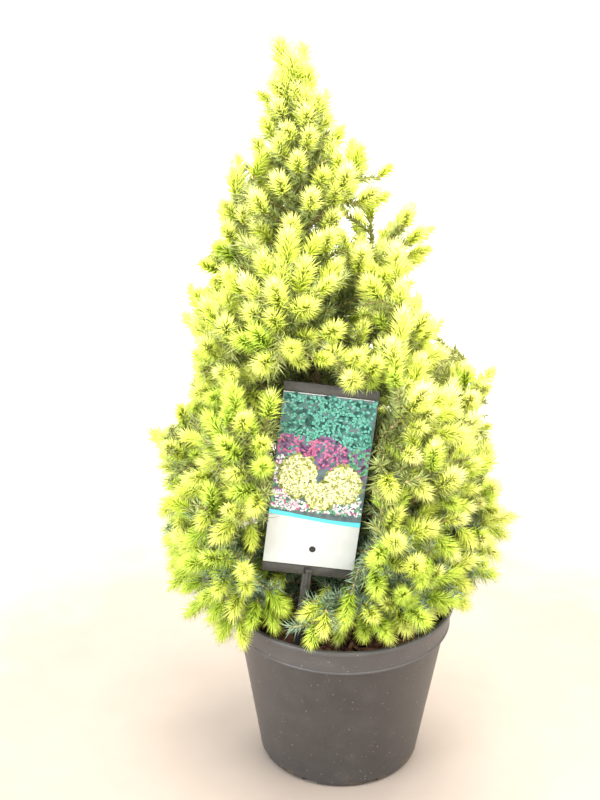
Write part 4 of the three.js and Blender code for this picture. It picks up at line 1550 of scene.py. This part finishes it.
# The rim band is screened lighter in colour: a painted highlight.
BAND_PAINTED_HIGHLIGHT = "#2e2d2d"
LIME = "#8c8479"
EARTH = "#6b5c3f"
SPLASH_DEPTH = 0.05
SPLASH_RAGGED = -0.1
BAND_EDGE = 0.01
GLOSSY, DULL = 0.32, 0.55
SPECK_RELIEF = 0.12


def make_pot_material():
    """Moulded polypropylene: satin dark grey, dusty, with soil stains at its foot and a painted highlight
    on its rim band.
    """
    material, tree, shader = new_material("moulded_polypropylene", "#5b5855", 0.42)
    place = add_node(tree, "ShaderNodeTexCoord").outputs["Object"]
    height = add_node(tree, "ShaderNodeSeparateXYZ", None, {"Vector": place}).outputs["Z"]
    dust, specks, splash = (
        add_node(tree, "ShaderNodeTexNoise", None, {
            "Vector": place, "Scale": 1 / (size_mm * MM), "Detail": octaves, "Roughness": crumble,
        }).outputs["Fac"]
        for size_mm, octaves, crumble in ((DUST, 5.0, 0.65), (SPECKS, 2.0, 0.55), (SPLASH, 6.0, 0.7))
    )
    tall = add_node(tree, "ShaderNodeMapRange", None, {"Value": height, "From Max": POT_HEIGHT * MM})
    ragged = add_node(tree, "ShaderNodeMath", {"operation": "MULTIPLY_ADD"}, {
        0: splash, 1: SPLASH_RAGGED, 2: height,
    })
    lifted = add_node(tree, "ShaderNodeMath", {"operation": "ADD"}, {0: ragged.outputs[0], 1: SPLASH_DEPTH})
    band = BAND_FOOT / POT_HEIGHT
    band_highlight_stops = [(band - BAND_EDGE, "#000000"), (band + BAND_EDGE, "#ffffff")]
    layers = [
        # First the rim band's painted highlight, then the lime specks and the earth.
        ("SCREEN", tall.outputs["Result"], band_highlight_stops, BAND_PAINTED_HIGHLIGHT),
        ("MIX", specks, [(0.69, "#000000"), (0.74, "#ffffff")], LIME),
        ("MIX", lifted.outputs[0], [(0.0, "#b0b0b0"), (0.004, "#000000")], EARTH),
    ]
    colour = add_node(tree, "ShaderNodeValToRGB", None, {"Fac": dust}, DUST_STOPS).outputs["Color"]
    for blend, source, stops, over in layers:
        mask = add_node(tree, "ShaderNodeValToRGB", None, {"Fac": source}, stops).outputs["Color"]
        # In a Mix node of colours, socket 0 is the factor and 6 and 7 are the two colours.
        settings = {"data_type": "RGBA", "blend_type": blend}
        layer = add_node(tree, "ShaderNodeMix", settings, {0: mask, 6: colour, 7: linear(over)})
        colour = layer.outputs[2]
    tree.links.new(colour, shader.inputs["Base Color"])
    rough = add_node(tree, "ShaderNodeMapRange", None, {"Value": dust, "To Min": GLOSSY, "To Max": DULL})
    tree.links.new(rough.outputs["Result"], shader.inputs["Roughness"])
    bump = add_node(tree, "ShaderNodeBump", None, {
        "Height": specks, "Distance": SPECK_RELIEF * MM, "Strength": 0.35,
    })
    tree.links.new(bump.outputs["Normal"], shader.inputs["Normal"])
    return material


polypropylene = make_pot_material()
print("pot finish with", len(polypropylene.node_tree.nodes), "nodes")

# %% [markdown]
# Eight drain slots go through the pot's rounded foot. They could be built into the spun
# mesh, which would need a matching edge at every slot. A boolean takes a ring of blocks
# away in one step, and its result is kept as a plain mesh, so that no modifier is left.

# %% Pot
POT_SPIN_STEPS = 128
DRAIN_COUNT = 8
SLOT_AT = 65.5
SLOT_SIZE = (19.0, 13.0, 9.0)
MERGE = 1e-6
POT_SHARP = 35


def make_pot():
    """Spins the outline, then cuts the drain slots."""
    bm = bmesh.new()
    points = [bm.verts.new((r * MM, 0, h * MM)) for r, h in pot_outline()]
    edges = [bm.edges.new(pair) for pair in zip(points, points[1:])]
    bmesh.ops.spin(
        bm, geom=points + edges, cent=(0, 0, 0), axis=(0, 0, 1), angle=FULL_TURN,
        steps=POT_SPIN_STEPS, use_merge=True,
    )
    bmesh.ops.remove_doubles(bm, verts=bm.verts, dist=MERGE)
    bmesh.ops.recalc_face_normals(bm, faces=bm.faces)
    raw = as_piece(bm, "pot_raw")
    block = Matrix.Translation((SLOT_AT * MM, 0, 0)) @ Matrix.Diagonal((*(s * MM for s in SLOT_SIZE), 1))
    slot_bm = bmesh.new()
    for k in range(DRAIN_COUNT):
        turn = Matrix.Rotation((k + 0.5) / DRAIN_COUNT * FULL_TURN, 4, "Z")
        bmesh.ops.create_cube(slot_bm, size=1.0, matrix=turn @ block)
    slots = as_piece(slot_bm, "slots")
    cut = raw.modifiers.new("slots", "BOOLEAN")
    cut.operation = "DIFFERENCE"
    cut.solver = "EXACT"
    cut.object = slots
    bpy.context.view_layer.update()
    finished = bpy.data.meshes.new_from_object(raw.evaluated_get(bpy.context.evaluated_depsgraph_get()))
    bpy.data.objects.remove(raw)
    bpy.data.objects.remove(slots)
    shell_bm = bmesh.new()
    shell_bm.from_mesh(finished)
    return as_piece(shell_bm, "pot_shell", polypropylene, smooth=True, sharp_degrees=POT_SHARP)


pot_shell = make_pot()
print(len(pot_shell.data.polygons), "pot faces")

# %% [markdown]
# The pot is filled with moist compost, which is nearly black, crumbly and quite matt. It
# is a disc that is inset ring by ring to get corners all over its top. Noise lifts them,
# less and less towards the wall, and the rim is extruded down inside the pot. A displaced
# plane would be quicker, but it would have no side to meet the pot's wall.

# %% Compost
FILL_FOOT = 60.0
FILL_SIDES = 72
FILL_RINGS = 9
FILL_RING_WIDTH = 9
FILL_GAP = 0.6
FILL_LOWERED = 1.5


def make_fill():
    """The compost body with an uneven top."""
    bm = bmesh.new()
    radius = inside_radius(BAND_FOOT) - FILL_GAP
    bmesh.ops.create_circle(bm, cap_ends=True, cap_tris=False, segments=FILL_SIDES, radius=radius * MM)
    for ring in range(FILL_RINGS):
        middle = max(bm.faces, key=lambda face: len(face.verts))
        bmesh.ops.inset_individual(bm, faces=[middle], thickness=FILL_RING_WIDTH * MM)
    for vertex in bm.verts:
        x, y = vertex.co.x / MM, vertex.co.y / MM
        edge = clamp01((radius - math.hypot(x, y)) / 6)
        heaps = 2.6 * noise.noise(Vector((x * 0.06, y * 0.06, 0)))
        crumbs = 1.4 * noise.noise(Vector((x * 0.3, y * 0.3, 3)))
        vertex.co.z = (SOIL_TOP - FILL_LOWERED + (heaps + crumbs) * edge) * MM
    rim = [edge for edge in bm.edges if edge.is_boundary]
    grown = bmesh.ops.extrude_edge_only(bm, edges=rim)["geom"]
    lower = [g for g in grown if isinstance(g, bmesh.types.BMVert)]
    shrink = (inside_radius(FILL_FOOT) - FILL_GAP) / radius
    for vertex in lower:
        vertex.co.x *= shrink
        vertex.co.y *= shrink
        vertex.co.z = FILL_FOOT * MM
    bmesh.ops.contextual_create(bm, geom=lower)
    bmesh.ops.triangulate(bm, faces=bm.faces)
    bmesh.ops.recalc_face_normals(bm, faces=bm.faces)
    stops = [(0.3, "#1d120c"), (0.6, "#3a261a"), (0.8, "#5a4030")]
    compost = mottled("moist_compost", 0.95, 5.0, stops, 6.0, 0.7, relief_mm=2.0, strength=0.9)[0]
    return as_piece(bm, "compost", compost)


fill = make_fill()
print(len(fill.data.polygons), "compost faces")

# %% [markdown]
# Over the compost lies a loose layer of bark chips: dry, matt slabs, dark where the bark
# was outside and pale tan where it was torn. They could be scattered by a particle
# system, whose copies are all alike. Each here is a block with its own size, turn and
# pushed corners, and one bevel takes the sharp edges off them all.

# %% Bark chips
CHIP_COUNT = 420
CHIP_SEED = 11
CHIP_LONG, CHIP_WIDE, CHIP_THICK = (7, 21), (4, 9.5), (1.2, 2.8)
CHIP_BEVEL = 0.5
CHIP_WARP = 0.09
CHIP_GRAIN = 2.0


def add_chip(bm, rng, far, angle):
    """One chip at a distance from the pot's axis."""
    long, wide, thick = rng.uniform(*CHIP_LONG), rng.uniform(*CHIP_WIDE), rng.uniform(*CHIP_THICK)
    turn = Matrix.Rotation(rng.uniform(0, 6.3), 4, "Z") @ Matrix.Rotation(rng.normal(0, 0.3), 4, "X")
    turn = turn @ Matrix.Rotation(rng.normal(0, 0.28), 4, "Y")
    x, y = far * math.cos(angle), far * math.sin(angle)
    place = Matrix.Translation((x * MM, y * MM, (SOIL_TOP + rng.uniform(0.0, 3.0)) * MM))
    size = Matrix.Diagonal((long * MM, wide * MM, thick * MM, 1))
    made = bmesh.ops.create_cube(bm, size=1.0, matrix=place @ turn @ size)
    for vertex in made["verts"]:
        push = rng.normal(0, CHIP_WARP, 3) * np.array([long, wide, thick * 1.5])
        vertex.co += Vector(push * MM)


def make_chip_material():
    """Chipped bark: matt, patched from dark skin to pale torn wood, with a fine fibre."""
    stops = [(0.3, "#35221a"), (0.46, "#5f3c2d"), (0.6, "#8b6049"), (0.74, "#c9a283")]
    material, tree, shader, place = mottled("chipped_bark", 0.9, 9.0, stops, 4.0)
    fibre = add_node(tree, "ShaderNodeTexNoise", None, {
        "Vector": place, "Scale": 1 / (CHIP_GRAIN * MM), "Detail": 4.0, "Roughness": 0.55,
    })
    bump = add_node(tree, "ShaderNodeBump", None, {
        "Height": fibre.outputs["Fac"], "Distance": 0.7 * MM, "Strength": 0.8,
    })
    tree.links.new(bump.outputs["Normal"], shader.inputs["Normal"])
    return material


def make_chips():
    """All chips, strewn evenly over the soil but not on the trunk's foot."""
    rng = np.random.default_rng(CHIP_SEED)
    bm = bmesh.new()
    for k in range(CHIP_COUNT):
        far = (inside_radius(BAND_FOOT) - 8) * math.sqrt(rng.uniform(0.02, 1))
        angle = rng.uniform(0, FULL_TURN)
        if far >= trunk_radius(SOIL_TOP) + 7:
            add_chip(bm, rng, far, angle)
    bmesh.ops.bevel(
        bm, geom=bm.edges[:], offset=CHIP_BEVEL * MM, segments=1, affect="EDGES", profile=0.5, material=-1,
    )
    return as_piece(bm, "bark_chips", make_chip_material())


chips = make_chips()
print(len(chips.data.polygons), "chip faces")

# %% [markdown]
# The label is a flat plate with a lip above and below that holds a printed card, moulded
# in one with the stake that carries it. It is black polystyrene from a polished mould, so
# its gloss is smoother than the pot's and its colour hardly changes. Each part is a slab
# with rounded edges: a block whose edges are bevelled, because no moulded edge is sharp
# and the bevel is what draws a light line round it. All are placed in the label's own
# frame, which leans back a little and is rolled to one side.

# %% Label holder
LIP_HEIGHT = 8.0
PLATE = 1.2
STAKE_DEPTH = 13.0
STAKE_THICK = 2.4
RIB_STANDS_OUT = 1.6
LABEL_SHARP = 40

label_matrix = Matrix.Translation(Vector(LABEL_CENTRE * MM)) @ Matrix(label_turn.tolist()).to_4x4()


def add_slab(bm, place, size, round_mm):
    """A block in the label's frame, with rounded edges."""
    scale = Matrix.Diagonal((*(s * MM for s in size), 1))
    turned = label_matrix @ Matrix.Translation([p * MM for p in place])
    made = bmesh.ops.create_cube(bm, size=1.0, matrix=turned @ scale)
    corners = set(made["verts"])
    edges = [edge for edge in bm.edges if corners.issuperset(edge.verts)]
    bmesh.ops.bevel(
        bm, geom=edges, offset=round_mm * MM, segments=2, affect="EDGES", profile=0.5, material=-1,
    )


def make_holder():
    """Plate, two lips, stake with its rib, clip and two studs."""
    half = LABEL_HEIGHT / 2
    lip_z = half - LIP_HEIGHT / 2
    lip_y = PLATE - LIP / 2
    top = -half + LIP_HEIGHT
    low = -((LABEL_CENTRE[2] - SOIL_TOP) / math.cos(LABEL_ROLL) + STAKE_DEPTH)
    middle, length = (top + low) / 2, top - low
    slabs = {
        "plate": ((0, PLATE / 2, 0), (LABEL_WIDTH, PLATE, LABEL_HEIGHT), 0.4),
        "upper lip": ((0, lip_y, lip_z), (LABEL_WIDTH, LIP, LIP_HEIGHT), 0.7),
        "lower lip": ((0, lip_y, -lip_z), (LABEL_WIDTH, LIP, LIP_HEIGHT), 0.7),
        "stake": ((0, 0, middle), (STAKE_WIDTH, STAKE_THICK, length), 0.6),
        "rib": ((0, 0, middle + 8), (STAKE_WIDTH / 3, STAKE_THICK + RIB_STANDS_OUT, length - 24), 0.6),
        "clip": ((1.5, lip_y - 0.8, -lip_z), (6, LIP + 1.6, 3), 0.5),
        "upper stud": ((0, -STAKE_THICK / 2 - 0.4, -half - 9), (3.4, 1.6, 3.4), 0.5),
        "lower stud": ((0, -STAKE_THICK / 2 - 0.4, -half - 18), (3.4, 1.6, 3.4), 0.5),
    }
    bm = bmesh.new()
    for place, size, round_mm in slabs.values():
        add_slab(bm, place, size, round_mm)
    stops = [(0.3, "#343230"), (0.7, "#46433f")]
    polystyrene = mottled("moulded_polystyrene", 0.38, 6.0, stops, relief_mm=0.08, strength=0.4)[0]
    return as_piece(bm, "holder", polystyrene, smooth=True, sharp_degrees=LABEL_SHARP)


holder = make_holder()
print(len(holder.data.polygons), "holder faces")

# %% [markdown]
# The card is printed plastic film: smooth, with a soft gloss, and a white that has gone
# faintly uneven outdoors. It is one thin slab between the two lips. A gap of 0.3 mm keeps
# it off the plate, as a loose card has.

# %% Card
CARD = 0.8
CARD_ROUND = 0.2


def make_card():
    """The printed film's white ground."""
    size = (LABEL_WIDTH - 1, CARD, LABEL_HEIGHT - 2 * LIP_HEIGHT - 0.6)
    bm = bmesh.new()
    add_slab(bm, (0, -CARD / 2 - CLEARANCE, 0), size, CARD_ROUND)
    film = mottled("printed_film", 0.3, 18.0, [(0.3, "#d0d2d3"), (0.7, "#dadcdc")])[0]
    return as_piece(bm, "card", film, smooth=True, sharp_degrees=LABEL_SHARP)


card = make_card()
print(len(card.data.polygons), "card faces")

# %% [markdown]
# The print is a small garden picture. It could be an image texture, but it is built from
# ink on ink as a print is: each field is a thin sheet a few hundredths of a millimetre
# over the one below. Printed ink is a little duller than the film, and a leafy picture is
# broken up into cells a few millimetres across, so a cell pattern and a noise are added
# up and coloured by a ramp. A plain field is one face, poked to give it a middle corner.

# %% Inks and fields
CARD_HALF = (LABEL_WIDTH - 1) / 2
CARD_TOP = LABEL_HEIGHT / 2 - LIP_HEIGHT - CLEARANCE
INK_STEP = 0.03
INK_ROUGHNESS = 0.35


def make_ink(name, cell_mm, stops):
    """Printed ink: a little duller than the film, and broken up by cells of cell_mm."""
    material, tree, shader = new_material(name, stops[0][1], INK_ROUGHNESS)
    place = add_node(tree, "ShaderNodeTexCoord").outputs["Object"]
    cells = add_node(tree, "ShaderNodeTexVoronoi", None, {"Vector": place, "Scale": 1 / (cell_mm * MM)})
    soft = add_node(tree, "ShaderNodeTexNoise", None, {
        "Vector": place, "Scale": 1 / (cell_mm * 2.5 * MM), "Detail": 4.0, "Roughness": 0.55,
    })
    joined = add_node(tree, "ShaderNodeMath", {"operation": "MULTIPLY_ADD"}, {
        0: cells.outputs["Distance"], 1: 0.5, 2: soft.outputs["Fac"],
    })
    colours = add_node(tree, "ShaderNodeValToRGB", None, {"Fac": joined.outputs[0]}, stops)
    tree.links.new(colours.outputs["Color"], shader.inputs["Base Color"])
    return material


def on_card(across, up, layer):
    """Points of the print, in millimetres, from places on the card."""
    out = np.full(len(across), -CARD - CLEARANCE - INK_STEP * layer)
    return np.stack([across, out, up], axis=1) @ label_turn.T + LABEL_CENTRE


def print_field(name, outline, layer, ink):
    """A flat field of ink inside a closed outline of (x, z) points."""
    across, up = np.array(outline).T
    bm = bmesh.new()
    corners = [bm.verts.new(Vector(point * MM)) for point in on_card(across, up, layer)]
    bmesh.ops.poke(bm, faces=[bm.faces.new(corners)], center_mode="MEAN")
    return as_piece(bm, name, ink)


def band_outline(low, high, count=24):
    """A field between two curves across the card."""
    xs = np.linspace(-CARD_HALF, CARD_HALF, count)
    return [(x, low(x)) for x in xs] + [(x, high(x)) for x in xs[::-1]]


print("a field of ink is", INK_STEP, "mm over the last")

# %% [markdown]
# Leaves and petals of the print are small ragged patches, a few hundred of each ink. A
# texture of cells alone looks like a mosaic. Patches strewn over round areas overlap as
# foliage does, and the areas give the picture its shrubs, hedge, border and bed. They
# come from arrays for the same reason as the needles: many, small and all unlike.

# %% Printed leaves
PICTURE_FOOT = -26.0
LEAF_SIDES = 6
LEAF_CELL = 2.0
LEAF_SHAPE = (1.4, 0.8)


def leaf_places(rng, areas, total):
    """Places strewn over round areas (x, z, wide, high), shared out by their size."""
    size = sum(wide * high for x, z, wide, high in areas)
    across, up = [], []
    for x, z, wide, high in areas:
        count = int(total * wide * high / size)
        far = np.sqrt(rng.uniform(0, 1, count))
        angle = rng.uniform(0, FULL_TURN, count)
        across.append(x + wide * far * np.cos(angle))
        up.append(z + high * far * np.sin(angle))
    across, up = np.concatenate(across), np.concatenate(up)
    inside = (np.abs(across) < CARD_HALF - 1.2) & (up > PICTURE_FOOT + 1) & (up < CARD_TOP - 1.5)
    return across[inside][:, None], up[inside][:, None]


def print_leaves(name, layer, dark, light, size, areas, total):
    """Small ragged leaves or petals of one ink."""
    rng = np.random.default_rng(layer)
    across, up = leaf_places(rng, areas, total)
    count = len(across)
    turn = rng.uniform(0, FULL_TURN, count)[:, None]
    around = np.arange(LEAF_SIDES)[None] / LEAF_SIDES * 2 * math.pi
    reach = size * rng.uniform(0.5, 1.2, (count, LEAF_SIDES))
    along, wide = reach * np.cos(around) * LEAF_SHAPE[0], reach * np.sin(around) * LEAF_SHAPE[1]
    edge_x = across + along * np.cos(turn) - wide * np.sin(turn)
    edge_z = up + along * np.sin(turn) + wide * np.cos(turn)
    xs = np.concatenate([edge_x, across], axis=1).ravel()
    zs = np.concatenate([edge_z, up], axis=1).ravel()
    points = on_card(np.clip(xs, -CARD_HALF + 0.3, CARD_HALF - 0.3), zs, layer)
    fan = [[LEAF_SIDES, k, (k + 1) % LEAF_SIDES] for k in range(LEAF_SIDES)]
    ink = make_ink(name + "_ink", LEAF_CELL, [(0.3, dark), (0.8, light)])
    return mesh_from_arrays(name, points, copied_faces(fan, LEAF_SIDES + 1, count), ink, False)


print("a printed leaf has", LEAF_SIDES, "faces")

# %% [markdown]
# The picture is laid down from back to front: dark ground, hedge, flower border, bed, and
# the round lime shrubs in three tones each, shade first and light last. Under it a
# sky-blue curve parts it from the clear white foot of the card, which has one black dot.
# Each ink is one row of a table, so a colour or a count is changed in one place.

# %% The picture
SHRUBS = [(-17, 4, 14, 17), (18, 0, 14, 15), (2, -11, 11, 11)]
SHRUB_SHADES = [(x, z, wide * 1.04, high * 1.04) for x, z, wide, high in SHRUBS]
HEDGE = [(-18, 55, 30, 22), (18, 52, 30, 22), (-20, 30, 20, 12), (24, 30, 16, 14)]
BORDER = [(-26, 22, 16, 16), (2, 24, 18, 13), (30, 14, 12, 18), (-30, 4, 9, 16)]
BED = [(-26, -18, 14, 9), (26, -18, 14, 10), (0, -22, 24, 6)]
# For each ink: its dark and light colour, the size of its leaves in mm, and how many are
# strewn over which areas.
LEAVES = {
    "print_hedge_low": ("#1c4f4c", "#2f7468", 2.6, HEDGE, 520),
    "print_hedge_high": ("#2f8f7c", "#62b39f", 1.3, HEDGE, 620),
    "print_plum": ("#4a2f4f", "#7d5480", 2.2, BORDER, 330),
    "print_rose": ("#97305e", "#c9648f", 1.3, BORDER[:2] + BED, 260),
    "print_leaf": ("#2d7a4f", "#62ad7c", 1.5, BED + BORDER[2:], 300),
    "print_petal": ("#dba6c8", "#f4e8f2", 1.1, BED + BORDER[3:], 380),
    "print_shrub_shade": ("#5f6a2c", "#8b943f", 2.6, SHRUB_SHADES, 420),
    "print_shrub": ("#b9bf57", "#dfe088", 1.35, SHRUBS, 900),
    "print_shrub_light": ("#e9e6a0", "#f7f4cf", 0.85, SHRUBS, 620),
}
FIRST_LEAVES, LAST_LAYER = 2, 11
GROUND_STOPS = [(0.25, "#1d2529"), (0.5, "#33464a"), (0.8, "#55686a")]
CURVE_STOPS = [(0.3, "#2fb3cf"), (0.7, "#59d0e2")]
DOT_AT, DOT_RADIUS = (1.5, -57), 2.6


def curve_foot(x):
    """The lower edge of the picture and of its curve."""
    return -32 - 2.0 * math.sin(x / LABEL_WIDTH * math.pi + 0.2)


def curve_top(x):
    """The upper edge of the curve."""
    return -28 - 2.4 * math.sin(x / LABEL_WIDTH * math.pi + 0.6)


ground = make_ink("ground_ink", 5.0, GROUND_STOPS)
picture = band_outline(curve_foot, lambda x: CARD_TOP - 0.5)
prints = [print_field("print_ground", picture, 1, ground)]
for layer, (name, row) in enumerate(LEAVES.items(), FIRST_LEAVES):
    prints.append(print_leaves(name, layer, *row))
blue = make_ink("curve_ink", 30.0, CURVE_STOPS)
prints.append(print_field("print_curve", band_outline(curve_foot, curve_top), LAST_LAYER, blue))
black = new_material("black_ink", "#1c1c1e", 0.4)[0]
dot = arc_points(DOT_AT, DOT_RADIUS, 0, 345, 24)
prints.append(print_field("print_dot", dot, LAST_LAYER, black))
print(len(prints), "print fields")

# %% [markdown]
# Last, every piece is told which body it rides on and which solids it stands for. This
# plant has no joint, so all ride on the root.
# The needles and twigs together stand for the foliage solids, and each bough for its own.

# %% Ride and replace
foliage_nodes = [name for name in node_names if name.startswith("foliage_")]
bough_nodes = sorted(name for name in node_names if name.startswith("bough_"))


def settle(piece, slot, *nodes):
    """Rides on the one body and stands for its nodes. The slot is not used."""
    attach(piece, "root")
    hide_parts(*nodes)


for piece in new_pieces + old_pieces:
    settle(piece, "needles", *foliage_nodes)
for piece in (twigs, bud_scales):
    settle(piece, "bark", *foliage_nodes)
settle(trunk, "bark", "trunk")
for piece, node in zip(boughs, bough_nodes):
    settle(piece, "bark", node)
settle(pot_shell, "pot", "pot")
settle(fill, "bark_mulch", "soil")
settle(chips, "bark_mulch", "soil")
settle(holder, "label_holder", "label_holder")
for piece in [card] + prints:
    settle(piece, "label_card", "label_card")
